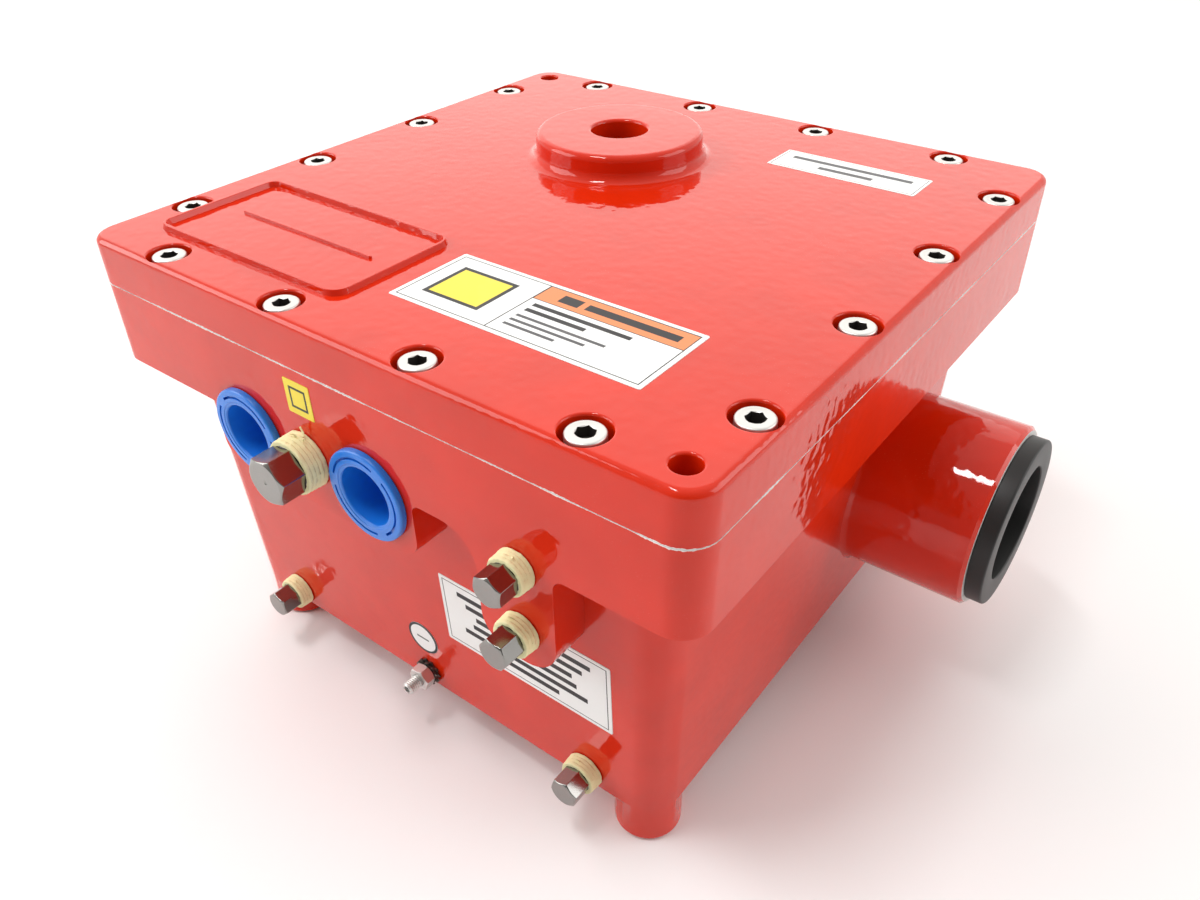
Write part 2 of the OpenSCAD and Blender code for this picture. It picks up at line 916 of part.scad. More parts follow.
module torque_label() color("white")
    translate([69.2, 93.4, cover_z])
        film(70.8, 21.9, 1.5);

// Places its children flat on the leaning front wall, their +Z pointing out
module on_front_wall(x, z) {
    translate([x, wall_y(z) - eps, z])
        rotate([90 + draft, 0, 0])
            children();
}

module gas_label() color("white")
    on_front_wall(59.5, 78.4)
        film(84.3, 36.9, 1.5);

module ground_sticker() color("white")
    on_front_wall(-0.6, 47.5)
        cylinder(r = 8.5, h = label_t);

module entry_sticker() color("gold")
    out_front(-25.4, front_y, 170)
        film(14.2, 14.7, 1);

housing_base();
cover();
cover_screws();
cover_seal();
sight_window();
sight_window_seal();
sight_window_nut();
lens_ring();
front_window();
front_window_seal();
conduit_plug_left();
conduit_plug_right();
conduit_hex_plug();
conduit_tape();
port_hex_plugs();
port_tapes();
ground_stud();
ground_nut();
ground_washers();
optical_bench();
bench_standoffs();
bench_screws();
lens_mount();
focus_barrel();
objective_lens();
lens_retainer();
focus_rack();
pinion_bracket();
focus_pinion();
focus_knob();
mirror_mount();
beam_splitter();
eyepiece_barrel();
eyepiece_lens();
motor_bracket();
chopper_motor();
chopper_shaft();
chopper_wheel();
detector_bracket();
detector_module();
detector_board();
main_board();
board_standoffs();
board_screws();
power_module();
capacitors();
terminal_block();
terminal_screws();
cover_label();
torque_label();
gas_label();
ground_sticker();
entry_sticker();
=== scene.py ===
"""Flameproof sighting-instrument housing: red cast box, bolted cover, sight tube and entry plugs."""
import math
from contextlib import contextmanager
from math import radians

import bmesh
import bpy
from mathutils import Matrix, Vector


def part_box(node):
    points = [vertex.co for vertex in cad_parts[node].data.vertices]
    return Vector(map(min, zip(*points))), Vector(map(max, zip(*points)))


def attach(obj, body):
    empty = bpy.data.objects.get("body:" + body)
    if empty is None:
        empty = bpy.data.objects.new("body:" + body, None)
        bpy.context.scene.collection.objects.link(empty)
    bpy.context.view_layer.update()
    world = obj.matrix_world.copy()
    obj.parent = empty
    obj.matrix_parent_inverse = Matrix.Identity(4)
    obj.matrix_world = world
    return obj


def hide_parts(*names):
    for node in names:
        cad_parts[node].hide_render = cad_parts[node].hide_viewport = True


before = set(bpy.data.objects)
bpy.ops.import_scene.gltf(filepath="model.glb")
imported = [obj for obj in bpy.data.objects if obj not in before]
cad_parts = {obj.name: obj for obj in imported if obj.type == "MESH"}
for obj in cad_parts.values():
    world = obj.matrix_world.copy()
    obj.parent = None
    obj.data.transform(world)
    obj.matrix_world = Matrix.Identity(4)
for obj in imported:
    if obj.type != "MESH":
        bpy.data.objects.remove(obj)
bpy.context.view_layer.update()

bl_info = {
    "name": "Sight Housing Builder",
    "version": (1, 0, 0),
    "blender": (4, 5, 0),
    "location": "View3D > Sidebar > Sight Housing",
    "description": "Models a red cast instrument housing with its cover, fittings and finishes",
    "category": "Mesh",
}

MM = 0.001
QUARTER = math.pi / 2
OUT_FRONT = (QUARTER, 0, 0)
ALONG_X = (0, QUARTER, 0)

# Places that the frame gives
COVER_LOW, COVER_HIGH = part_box("cover")
HOUSING_LOW, HOUSING_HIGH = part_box("housing_base")
PARTING = COVER_LOW.z
COVER_MID = (COVER_LOW.x + COVER_HIGH.x) / 2
COVER_SIZE = (COVER_HIGH.x - COVER_LOW.x, COVER_HIGH.y - COVER_LOW.y)
FRONT = COVER_LOW.y
TUBE_END = HOUSING_HIGH.x
RING_LOW, RING_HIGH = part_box("lens_ring")
TUBE_Y = (RING_LOW.y + RING_HIGH.y) / 2
TUBE_Z = (RING_LOW.z + RING_HIGH.z) / 2
GLASS_LOW, GLASS_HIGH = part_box("sight_window")
BOSS_X = (GLASS_LOW.x + GLASS_HIGH.x) / 2
BOSS_Y = (GLASS_LOW.y + GLASS_HIGH.y) / 2

# The cast walls
FLOOR = 18 * MM
FLANGE = 147 * MM
FLOOR_SIZE = (243.6 * MM, 255 * MM)
DRAFT = radians(2.05)
WALL = 9.2 * MM
FEET = [(x * MM, y * MM) for x in (-108, 108) for y in (-113.7, 113.7)]
# Gas ports: x and z in mm, and the turn of the plug in degrees
PORTS = [(76.4, 143.6, 25), (76.4, 115, 55), (-87.4, 27.5, 40), (87.4, 27.5, 15)]
# Pads on the front: low x, high x and bottom
PAD_LEFT = (-84.2 * MM, 28 * MM, 120.4 * MM)
PAD_RIGHT = (57.6 * MM, 91.4 * MM, 99.6 * MM)


def centre(node):
    """Middle of a CAD node's box."""
    low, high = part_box(node)
    return (low + high) / 2


def path(*points):
    """Points that are given in millimetres."""
    return [(a * MM, b * MM) for a, b in points]


def wall_y(height):
    """Depth of the leaning front wall at a height."""
    return -FLOOR_SIZE[1] / 2 - (height - FLOOR) * math.tan(DRAFT)


# --- Sizes and colours -------------------------------------------------

def length(label, text, default):
    """A length that the sidebar shows in the scene's unit."""
    return bpy.props.FloatProperty(name=label, description=text, default=default, unit="LENGTH",
                                   subtype="DISTANCE", precision=5)


def paint(label, text, default):
    """A colour without alpha."""
    return bpy.props.FloatVectorProperty(name=label, description=text, default=default, size=3,
                                         min=0, max=1, subtype="COLOR")


class ShellSizes(bpy.types.PropertyGroup):
    corner: length("Corner radius", "Plan radius of the cover and the flange", 12 * MM)
    top_edge: length("Cover edge", "Rounding of the cover's upper edge", 3 * MM)
    cast_edge: length("Cast edge", "Rounding of the pads and of the flange's lower edge", 1.6 * MM)
    cove: length("Cove", "Fillet under the flange and inside the corners", 5 * MM)
    boss_radius: length("Boss radius", "Radius of the round sight boss", 39 * MM)
    plate_rise: length("Plate rise", "Height of the name plate's frame", 2.2 * MM)


class FittingSizes(bpy.types.PropertyGroup):
    screw_head: length("Screw head", "Radius of the cover screws' heads", 6.5 * MM)
    screw_key: length("Screw key", "Width across the flats of the screw sockets", 6 * MM)
    large_hex: length("Large hex", "Width across the flats of the middle entry's plug", 18 * MM)
    small_hex: length("Small hex", "Width across the flats of the gas port plugs", 11.5 * MM)
    blue_flange: length("Blue flange", "Radius of the blue plugs' flange", 19 * MM)
    tape_rag: length("Tape rag", "How far the tape's edges stray", 0.5 * MM)


class Colours(bpy.types.PropertyGroup):
    enamel: paint("Enamel", "Red enamel on the castings", (0.64, 0.020, 0.002))
    blue: paint("Blue plugs", "Moulded plastic of the transport plugs", (0.001, 0.25, 0.72))
    tape: paint("Tape", "Thread sealing tape", (0.96, 0.93, 0.52))
    steel: paint("Steel", "Stainless fasteners and plugs", (0.31, 0.30, 0.285))
    amber: paint("Label yellow", "Yellow fields of the labels", (0.86, 0.68, 0.05))
    orange: paint("Label orange", "Orange band of the cover label", (0.80, 0.25, 0.09))
    floor: paint("Floor", "Pale floor that the housing stands on", (0.88, 0.885, 0.89))


# --- Modelling helpers -------------------------------------------------

def clean():
    """Object mode with nothing selected."""
    if bpy.context.mode != "OBJECT":
        bpy.ops.object.mode_set(mode="OBJECT")
    bpy.ops.object.select_all(action="DESELECT")


def focus(piece):
    """Select one piece and make it active."""
    clean()
    piece.select_set(True)
    bpy.context.view_layer.objects.active = piece


@contextmanager
def editing(piece, kind="VERT"):
    """Edit mode on one piece."""
    focus(piece)
    bpy.ops.object.mode_set(mode="EDIT")
    bpy.ops.mesh.select_mode(type=kind)
    yield
    bpy.ops.object.mode_set(mode="OBJECT")


def choose(piece, kind, test):
    """Select the vertices, edges or faces of the edited piece that pass a test."""
    bpy.ops.mesh.select_mode(type={"verts": "VERT", "edges": "EDGE", "faces": "FACE"}[kind])
    bpy.ops.mesh.select_all(action="DESELECT")
    mesh = bmesh.from_edit_mesh(piece.data)
    for item in getattr(mesh, kind):
        if test(item):
            item.select_set(True)
    bmesh.update_edit_mesh(piece.data)


def take_all():
    """Select the whole mesh, in edit mode."""
    bpy.ops.mesh.select_all(action="SELECT")


def tidy_normals():
    """Merge doubles and turn every face outwards, in edit mode."""
    take_all()
    bpy.ops.mesh.remove_doubles(threshold=0.001 * MM)
    bpy.ops.mesh.normals_make_consistent(inside=False)


def place(piece, at=(0, 0, 0), turn=(0, 0, 0)):
    """Put a piece in its place and leave the place in its mesh."""
    piece.location = at
    piece.rotation_euler = turn
    focus(piece)
    bpy.ops.object.transform_apply(location=True, rotation=True, scale=True)
    return piece


def copy_of(piece, name):
    """A copy with its own mesh."""
    made = piece.copy()
    made.data = piece.data.copy()
    made.name = name
    bpy.context.collection.objects.link(made)
    return made


def one_piece(pieces):
    """Join several meshes into the first."""
    clean()
    for piece in pieces:
        piece.select_set(True)
    bpy.context.view_layer.objects.active = pieces[0]
    if len(pieces) > 1:
        bpy.ops.object.join()
    return pieces[0]


def add_step(piece, label, kind, **settings):
    """Add a modifier with its settings."""
    step = piece.modifiers.new(label, kind)
    for key, value in settings.items():
        setattr(step, key, value)
    return step


def modify(piece, label, kind, **settings):
    """Add a modifier and apply it."""
    focus(piece)
    step = add_step(piece, label, kind, **settings)
    bpy.ops.object.modifier_apply(modifier=step.name)
    return piece


def combine(piece, tool, operation):
    """Join, cut or intersect a piece with a tool, and take the tool away."""
    modify(piece, "Shape", "BOOLEAN", operation=operation, object=tool, solver="EXACT")
    bpy.data.objects.remove(tool, do_unlink=True)
    return piece


def cut(piece, tool):
    return combine(piece, tool, "DIFFERENCE")


def join(piece, tool):
    return combine(piece, tool, "UNION")


def on_front(piece, x, y, z, turn=0):
    """Turn a piece about its own axis and stand it on the front, facing outwards."""
    place(piece, turn=(0, 0, radians(turn)))
    return place(piece, (x, y, z), OUT_FRONT)


def round_edges(piece, test, radius, segments=3):
    """Bevel the edges that pass a test."""
    with editing(piece, "EDGE"):
        choose(piece, "edges", test)
        bpy.ops.mesh.bevel(offset=radius, segments=segments, affect="EDGES", clamp_overlap=True)
        tidy_normals()
    return piece


def soften(piece, radius, angle):
    """A small bevel on every edge sharper than an angle in degrees."""
    return modify(piece, "Soften", "BEVEL", width=radius, segments=2, limit_method="ANGLE",
                  angle_limit=radians(angle))


def start_point(name, at):
    """A mesh of one vertex, left in edit mode with it selected."""
    clean()
    bpy.ops.mesh.primitive_plane_add(size=MM)
    piece = bpy.context.object
    piece.name = name
    bpy.ops.object.mode_set(mode="EDIT")
    bpy.ops.mesh.select_mode(type="VERT")
    take_all()
    bpy.ops.mesh.merge(type="CENTER")
    bpy.ops.transform.translate(value=at)
    return piece


def trace(points):
    """Extrude the selected vertex from point to point."""
    for here, there in zip(points, points[1:]):
        step = Vector(there) - Vector(here)
        bpy.ops.mesh.extrude_vertices_move(TRANSFORM_OT_translate={"value": step})


def arc(cx, cy, radius, start, end, count=6):
    """Points on an arc, with its ends given in degrees."""
    turns = [radians(start + (end - start) * i / count) for i in range(count + 1)]
    return [(cx + radius * math.cos(a), cy + radius * math.sin(a)) for a in turns]


def lathe(name, profile, steps=64):
    """A profile of (radius, height) points, spun round Z."""
    points = [(r, 0, h) for r, h in profile]
    piece = start_point(name, points[0])
    trace(points)
    take_all()
    bpy.ops.mesh.spin(steps=steps, angle=2 * math.pi, center=(0, 0, 0), axis=(0, 0, 1))
    tidy_normals()
    bpy.ops.object.mode_set(mode="OBJECT")
    return piece


def prism(name, outline, height):
    """An outline of (x, y) points, raised to a height."""
    points = [(x, y, 0) for x, y in outline]
    piece = start_point(name, points[0])
    trace(points)
    take_all()
    bpy.ops.mesh.edge_face_add()
    bpy.ops.mesh.extrude_region_move(TRANSFORM_OT_translate={"value": (0, 0, height)})
    tidy_normals()
    bpy.ops.object.mode_set(mode="OBJECT")
    return piece


def rounded_block(name, size, radius, levels, segments=8):
    """A rounded rectangle carried up through levels of (height, growth on each side)."""
    clean()
    bpy.ops.mesh.primitive_plane_add(size=1)
    block = bpy.context.object
    block.name = name
    block.scale = (size[0], size[1], 1)
    place(block)
    with editing(block):
        take_all()
        bpy.ops.mesh.bevel(offset=radius, segments=segments, affect="VERTICES")
        take_all()
        bpy.ops.transform.translate(value=(0, 0, levels[0][0]))
        for (low, before), (high, grown) in zip(levels, levels[1:]):
            move = {"value": (0, 0, high - low)}
            bpy.ops.mesh.extrude_region_move(TRANSFORM_OT_translate=move)
            if grown != before:
                share = [(s + 2 * grown) / (s + 2 * before) for s in size]
                bpy.ops.transform.resize(value=(share[0], share[1], 1), center_override=(0, 0, high))
        tidy_normals()
    return block


def hexagon(flats, turn=0):
    """Corners of a hexagon of a given width across its flats."""
    return arc(0, 0, flats / 2 / math.cos(math.pi / 6), turn, turn + 300, 5)


def roughen(piece, amount, grain, seed):
    """Displace a mesh by a cloudy texture, which gives a torn or cast edge."""
    clouds = bpy.data.textures.new(piece.name + "_clouds", "CLOUDS")
    clouds.noise_scale = grain
    clouds.noise_depth = 2
    anchor = bpy.data.objects.new("roughen_anchor", None)
    anchor.location = (seed * 0.37, seed * 0.11, 0)
    bpy.context.collection.objects.link(anchor)
    bpy.context.view_layer.update()
    modify(piece, "Ragged", "DISPLACE", texture=clouds, texture_coords="OBJECT",
           texture_coords_object=anchor, strength=amount, mid_level=0.5)
    bpy.data.objects.remove(anchor)
    return piece


def finish(piece, body, skins, angle=32, stands_for=(), even=False):
    """Shade a piece, give it its materials and let it ride on its body."""
    focus(piece)
    bpy.ops.object.shade_smooth_by_angle(angle=radians(angle))
    if even:
        modify(piece, "Even shading", "WEIGHTED_NORMAL", keep_sharp=True)
    piece.data.materials.clear()
    for skin in skins:
        piece.data.materials.append(skin)
    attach(piece, body)
    if stands_for:
        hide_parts(*stands_for)
    clean()
    return piece


def paint_faces(piece, index, test):
    """Give the faces that pass a test another of the piece's materials."""
    for face in piece.data.polygons:
        if test(face.center, face.normal):
            face.material_index = index


# --- Shader helpers and groups -----------------------------------------

class Graph:
    """Short calls for adding and joining shader nodes."""

    def __init__(self, tree):
        self.tree = tree

    def feed(self, socket, value):
        if isinstance(value, bpy.types.NodeSocket):
            self.tree.links.new(value, socket)
        else:
            socket.default_value = value

    def add(self, kind, inputs=(), **settings):
        node = self.tree.nodes.new(kind)
        for key, value in settings.items():
            setattr(node, key, value)
        for key, value in dict(inputs).items():
            self.feed(node.inputs[key], value)
        return node

    def math(self, operation, a, b=0.0, clamp=False):
        return self.add("ShaderNodeMath", {0: a, 1: b}, operation=operation, use_clamp=clamp).outputs[0]

    def times(self, a, b, clamp=False):
        return self.math("MULTIPLY", a, b, clamp)

    def mix(self, factor, a, b):
        return self.add("ShaderNodeMix", {0: factor, 6: a, 7: b}, data_type="RGBA").outputs[2]

    def range(self, value, low, high, out_low=0.0, out_high=1.0):
        inputs = {0: value, 1: low, 2: high, 3: out_low, 4: out_high}
        return self.add("ShaderNodeMapRange", inputs).outputs[0]

    def noise(self, vector, scale, detail=2.0, roughness=0.5):
        inputs = {"Vector": vector, "Scale": scale, "Detail": detail, "Roughness": roughness}
        return self.add("ShaderNodeTexNoise", inputs).outputs["Fac"]

    def bump(self, height, distance, strength=1.0, normal=None):
        node = self.add("ShaderNodeBump", {"Height": height, "Distance": distance, "Strength": strength})
        if normal is not None:
            self.feed(node.inputs["Normal"], normal)
        return node.outputs["Normal"]

    def place(self):
        return self.add("ShaderNodeTexCoord").outputs["Object"]


def group(name, inputs, outputs, build):
    """A shader node group that is made once and then shared."""
    if name in bpy.data.node_groups:
        return bpy.data.node_groups[name]
    tree = bpy.data.node_groups.new(name, "ShaderNodeTree")
    for label, kind, value in inputs:
        socket = tree.interface.new_socket(label, in_out="INPUT", socket_type="NodeSocket" + kind)
        if kind == "Float":
            socket.default_value = value
    for label, kind in outputs:
        tree.interface.new_socket(label, in_out="OUTPUT", socket_type="NodeSocket" + kind)
    graph = Graph(tree)
    source = graph.add("NodeGroupInput").outputs
    sink = graph.add("NodeGroupOutput").inputs
    build(graph, source, sink)
    return tree


def use(graph, tree, inputs):
    """Place a group in a material and return its outputs."""
    node = graph.add("ShaderNodeGroup", node_tree=tree)
    for key, value in inputs.items():
        graph.feed(node.inputs[key], value)
    return node.outputs


def grain_group():
    """Fine and broad unevenness: Height for a bump and Shade for colour and roughness."""
    def build(graph, source, sink):
        fine = graph.noise(source["Vector"], source["Scale"], source["Detail"], 0.5)
        broad = graph.noise(source["Vector"], graph.times(source["Scale"], 0.13), 2.0, 0.5)
        weighted = graph.times(broad, source["Broad"])
        graph.feed(sink["Height"], graph.math("ADD", fine, weighted))
        graph.feed(sink["Shade"], graph.range(broad, 0.3, 0.7))
    return group("Grain", [("Vector", "Vector", 0), ("Scale", "Float", 300.0), ("Broad", "Float", 1.0),
                           ("Detail", "Float", 3.0)],
                 [("Height", "Float"), ("Shade", "Float")], build)


def grain_of(graph, spot, scale, broad, detail=3.0):
    return use(graph, grain_group(), {"Vector": spot, "Scale": scale, "Broad": broad, "Detail": detail})


def dust_group():
    """Small specks, thicker on faces that look up."""
    def build(graph, source, sink):
        specks = graph.add("ShaderNodeTexVoronoi", {"Vector": source["Vector"], "Scale": 900.0}).outputs[0]
        spots = graph.math("LESS_THAN", specks, 0.09)
        patch = graph.range(graph.noise(source["Vector"], 26.0, 3.0), 0.50, 0.72)
        normal = graph.add("ShaderNodeNewGeometry").outputs["Normal"]
        up = graph.range(graph.add("ShaderNodeSeparateXYZ", {0: normal}).outputs[2], -0.1, 0.9, 0.25, 1.0)
        mask = graph.times(graph.times(spots, patch), up)
        graph.feed(sink["Mask"], graph.times(mask, source["Amount"], True))
    return group("Dust", [("Vector", "Vector", 0), ("Amount", "Float", 1.0)], [("Mask", "Float")], build)


def joint_highlight_group():
    """Chipped paint in a thin band round a level."""
    def build(graph, source, sink):
        height = graph.add("ShaderNodeSeparateXYZ", {0: source["Vector"]}).outputs[2]
        gap = graph.math("ABSOLUTE", graph.math("SUBTRACT", height, source["Level"]))
        wander = graph.noise(source["Vector"], 700.0, 3.0, 0.6)
        patch = graph.noise(source["Vector"], 45.0, 2.0)
        reach = graph.times(source["Width"], graph.range(patch, 0.45, 0.70, 0.7, 1.9))
        edge = graph.times(reach, graph.range(wander, 0.40, 0.75, 0.75, 1.7))
        graph.feed(sink["Mask"], graph.math("LESS_THAN", gap, edge))
    return group("Chips", [("Vector", "Vector", 0), ("Level", "Float", 0.0), ("Width", "Float", 0.001)],
                 [("Mask", "Float")], build)


def panel_group():
    """A rectangle in a plane given by two axes: 1 inside, 0 outside."""
    def build(graph, source, sink):
        parts = graph.add("ShaderNodeSeparateXYZ", {0: source["Vector"]}).outputs
        inside = None
        for axis, label in ((0, "X"), (1, "Y")):
            away = graph.math("ABSOLUTE", graph.math("SUBTRACT", parts[axis], source["Centre " + label]))
            hit = graph.math("LESS_THAN", away, source["Half " + label])
            inside = hit if inside is None else graph.times(inside, hit)
        graph.feed(sink["Mask"], inside)
    sockets = [("Vector", "Vector", 0)]
    sockets += [(word + axis, "Float", 0.0) for word in ("Centre ", "Half ") for axis in "XY"]
    return group("Panel", sockets, [("Mask", "Float")], build)


def material(name, fill, **settings):
    """A material, made once, whose Principled sockets a function fills from a graph."""
    skin = bpy.data.materials.get(name)
    if skin is None:
        skin = bpy.data.materials.new(name)
        skin.use_nodes = True
        shader = skin.node_tree.nodes["Principled BSDF"].inputs
        for key, value in settings.items():
            shader[key.replace("_", " ")].default_value = value
        graph = Graph(skin.node_tree)
        for key, value in fill(graph, graph.place()).items():
            graph.feed(shader[key.replace("_", " ")], value)
    return skin


def colour_of(key):
    """One of the colours in the sidebar."""
    return getattr(bpy.context.scene.housing_colours, key)


def rgba(colour):
    """A colour with full alpha."""
    return (*colour[:3], 1.0)


def tone(colour, share):
    """A lighter or darker version of a colour."""
    return tuple(min(1.0, c * share) for c in colour[:3]) + (1.0,)


# --- Materials ---------------------------------------------------------

def enamel():
    """Thick glossy enamel with orange peel, faint mottling, dust and chips on the joint."""
    def fill(graph, spot):
        red = colour_of("enamel")
        grain = grain_of(graph, spot, 250.0, 1.2, 0.4)
        base = graph.mix(grain["Shade"], tone(red, 0.93), tone(red, 1.06))
        # painted highlight: a thin pale band along the cover joint, also made rougher and slightly sunk
        joint_highlight = use(graph, joint_highlight_group(), {"Vector": spot, "Level": PARTING, "Width": 0.25 * MM})["Mask"]
        base = graph.mix(joint_highlight, base, (0.86, 0.80, 0.77, 1))
        dust = use(graph, dust_group(), {"Vector": spot, "Amount": 0.5})["Mask"]
        rough = graph.range(grain["Shade"], 0.0, 1.0, 0.045, 0.08)
        peel = graph.bump(grain["Height"], 0.2 * MM, 0.6)
        return {"Base_Color": graph.mix(dust, base, (0.85, 0.45, 0.40, 1)),
                "Roughness": graph.math("ADD", rough, graph.times(joint_highlight, 0.5), True),
                "Normal": graph.bump(joint_highlight, -0.1 * MM, 0.6, peel), "Coat_Normal": peel}
    return material("enamel_red", fill, IOR=1.43, Coat_Weight=0.05, Coat_Roughness=0.04, Coat_IOR=1.5)


def metal(name, colour, roughness, stretch, scratch=1.0, tint=0.12):
    """Bare metal with tooling marks drawn out along one direction."""
    def fill(graph, spot):
        drawn = graph.add("ShaderNodeMapping", {"Vector": spot, "Scale": stretch}).outputs[0]
        marks = graph.noise(drawn, 900.0, 4.0, 0.6)
        grain = grain_of(graph, spot, 220.0, 1.0)
        shade = graph.mix(marks, tone(colour, 1 - tint), tone(colour, 1 + tint))
        return {"Base_Color": graph.mix(grain["Shade"], shade, tone(colour, 0.86)),
                "Roughness": graph.range(marks, 0.2, 0.8, roughness * 0.75, roughness * 1.3),
                "Normal": graph.bump(marks, 0.02 * MM, 0.35 * scratch)}
    return material(name, fill, Metallic=1.0)


def stainless():
    return metal("stainless", colour_of("steel"), 0.26, (1, 1, 1))


def brushed_steel():
    return metal("brushed_plug_steel", colour_of("steel"), 0.13, (1, 6, 1), 1.2)


# dark steel for the toothed washers, also used as painted shade inside the cover screws' sockets
def dark_steel():
    return metal("dark_steel", (0.17, 0.135, 0.095), 0.42, (1, 1, 1), 2.0, 0.4)


def milled():
    return metal("milled_aluminium", (0.72, 0.72, 0.73), 0.32, (6, 1, 1), 1.4)


def brass():
    return metal("brass", (0.74, 0.52, 0.22), 0.24, (1, 1, 4))


def bare_rim():
    """Cast edge that was masked before painting, pale with specks of paint."""
    def fill(graph, spot):
        flecks = graph.range(graph.noise(spot, 420.0, 4.0, 0.7), 0.60, 0.66)
        return {"Base_Color": graph.mix(flecks, (0.78, 0.76, 0.74, 1), rgba(colour_of("enamel"))),
                "Roughness": graph.range(flecks, 0, 1, 0.55, 0.2),
                "Normal": graph.bump(graph.noise(spot, 900.0), 0.05 * MM, 0.4)}
    return material("bare_rim", fill)


# satin black for the lens ring and the inner parts, also used as painted shade inside the tube's bore
def black_anodised():
    """Satin black with a fine turned grain and rubbed edges."""
    def fill(graph, spot):
        grain = grain_of(graph, spot, 600.0, 0.6)
        dust = use(graph, dust_group(), {"Vector": spot, "Amount": 0.6})["Mask"]
        base = graph.mix(grain["Shade"], (0.010, 0.010, 0.011, 1), (0.022, 0.022, 0.023, 1))
        return {"Base_Color": graph.mix(dust, base, (0.30, 0.30, 0.30, 1)),
                "Roughness": graph.range(grain["Shade"], 0, 1, 0.32, 0.46),
                "Normal": graph.bump(grain["Height"], 0.03 * MM, 0.4)}
    return material("black_anodised", fill, IOR=1.5, Coat_Weight=0.15)


def plastic(name, dark, light, rough_low, rough_high, scale=240.0, **more):
    """Moulded plastic with slight flow marks."""
    def fill(graph, spot):
        grain = grain_of(graph, spot, scale, 1.0)
        return {"Base_Color": graph.mix(grain["Shade"], rgba(dark), rgba(light)),
                "Roughness": graph.range(grain["Shade"], 0, 1, rough_low, rough_high),
                "Normal": graph.bump(grain["Height"], 0.05 * MM, 0.4)}
    return material(name, fill, IOR=1.49, **more)


def blue_plastic():
    blue = colour_of("blue")
    return plastic("blue_plastic", tone(blue, 0.88), tone(blue, 1.15), 0.22, 0.32,
                   Specular_IOR_Level=0.3, Subsurface_Weight=0.12, Subsurface_Scale=2 * MM)


def black_rubber():
    return plastic("black_rubber", (0.012, 0.012, 0.012), (0.028, 0.028, 0.028), 0.6, 0.8, 900.0)


def black_plastic():
    return plastic("black_plastic", (0.018, 0.018, 0.020), (0.035, 0.035, 0.038), 0.42, 0.6, 1200.0)


def terminal_green():
    return plastic("terminal_green", (0.01, 0.16, 0.07), (0.02, 0.24, 0.10), 0.35, 0.5)


def sealing_tape():
    """Thin pale yellow tape, stretched lengthwise, with creases and a waxy sheen."""
    def fill(graph, spot):
        tape = colour_of("tape")
        layers = graph.add("ShaderNodeMapping", {"Vector": spot, "Scale": (0.3, 4.0, 0.3)}).outputs[0]
        creases = graph.noise(layers, 420.0, 4.0, 0.7)
        patches = graph.range(graph.noise(spot, 160.0, 3.0), 0.35, 0.65)
        base = graph.mix(patches, tone(tape, 0.85), tone(tape, 1.15))
        # painted shade: the colour is darker where the crease noise is low, in the hollows of the crease bump
        return {"Base_Color": graph.mix(graph.range(creases, 0.3, 0.7), tone(tape, 0.88), base),
                "Roughness": graph.range(creases, 0.2, 0.8, 0.38, 0.62),
                "Normal": graph.bump(creases, 0.25 * MM, 0.7)}
    return material("sealing_tape", fill, Subsurface_Weight=0.15, Subsurface_Scale=1 * MM)


def glass():
    """Coated window glass, faintly tinted and slightly smeared."""
    def fill(graph, spot):
        smear = graph.noise(spot, 70.0, 3.0)
        return {"Base_Color": graph.mix(smear, (0.80, 0.90, 0.88, 1), (0.88, 0.94, 0.95, 1)),
                "Roughness": graph.range(smear, 0.3, 0.7, 0.01, 0.05)}
    return material("coated_glass", fill, Transmission_Weight=1.0, IOR=1.5, Metallic=0.0)


def circuit_board():
    """Solder-masked board with faint copper runs."""
    def fill(graph, spot):
        cells = graph.add("ShaderNodeTexVoronoi", {"Vector": spot, "Scale": 120.0}, distance="CHEBYCHEV")
        cells = cells.outputs["Distance"]
        runs = graph.math("LESS_THAN", graph.math("PINGPONG", cells, 0.12), 0.03)
        return {"Base_Color": graph.mix(runs, (0.006, 0.075, 0.028, 1), (0.02, 0.16, 0.06, 1)),
                "Roughness": graph.range(runs, 0, 1, 0.34, 0.24),
                "Normal": graph.bump(runs, 0.04 * MM, 0.5)}
    return material("circuit_board", fill, IOR=1.5, Coat_Weight=0.3)


def floor_paint():
    """Matt pale sweep with hardly visible unevenness."""
    def fill(graph, spot):
        pale = colour_of("floor")
        patch = graph.noise(spot, 3.0, 4.0)
        return {"Base_Color": graph.mix(patch, tone(pale, 0.985), tone(pale, 1.015))}
    return material("pale_floor", fill, Roughness=0.75, Specular_IOR_Level=0.2)


WHITE_FILM = (0.84, 0.84, 0.83, 1)
INK = (0.012, 0.012, 0.014, 1)
PALE_INK = (0.08, 0.08, 0.085, 1)


def label_skin(node, flat, layers):
    """Printed film: each layer is (centre x, centre y, half width, half height, colour) in mm."""
    def fill(graph, spot):
        inputs = {0: spot, 1: centre(node)}
        local = graph.add("ShaderNodeVectorMath", inputs, operation="SUBTRACT").outputs[0]
        if not flat:
            parts = graph.add("ShaderNodeSeparateXYZ", {0: local}).outputs
            local = graph.add("ShaderNodeCombineXYZ", {0: parts[0], 1: parts[2]}).outputs[0]
        colour = WHITE_FILM
        keys = ("Centre X", "Centre Y", "Half X", "Half Y")
        for *sizes, ink in layers:
            values = {key: size * MM for key, size in zip(keys, sizes)}
            mask = use(graph, panel_group(), {"Vector": local, **values})["Mask"]
            colour = graph.mix(mask, colour, ink)
        smudge = graph.range(graph.noise(spot, 60.0, 3.0), 0.55, 0.75, 0.0, 0.10)
        return {"Base_Color": graph.mix(smudge, colour, (0.55, 0.50, 0.47, 1)),
                "Roughness": graph.range(smudge, 0, 0.1, 0.40, 0.52),
                "Normal": graph.bump(graph.noise(spot, 220.0), 0.04 * MM, 0.3)}
    return material(node + "_print", fill, IOR=1.4)


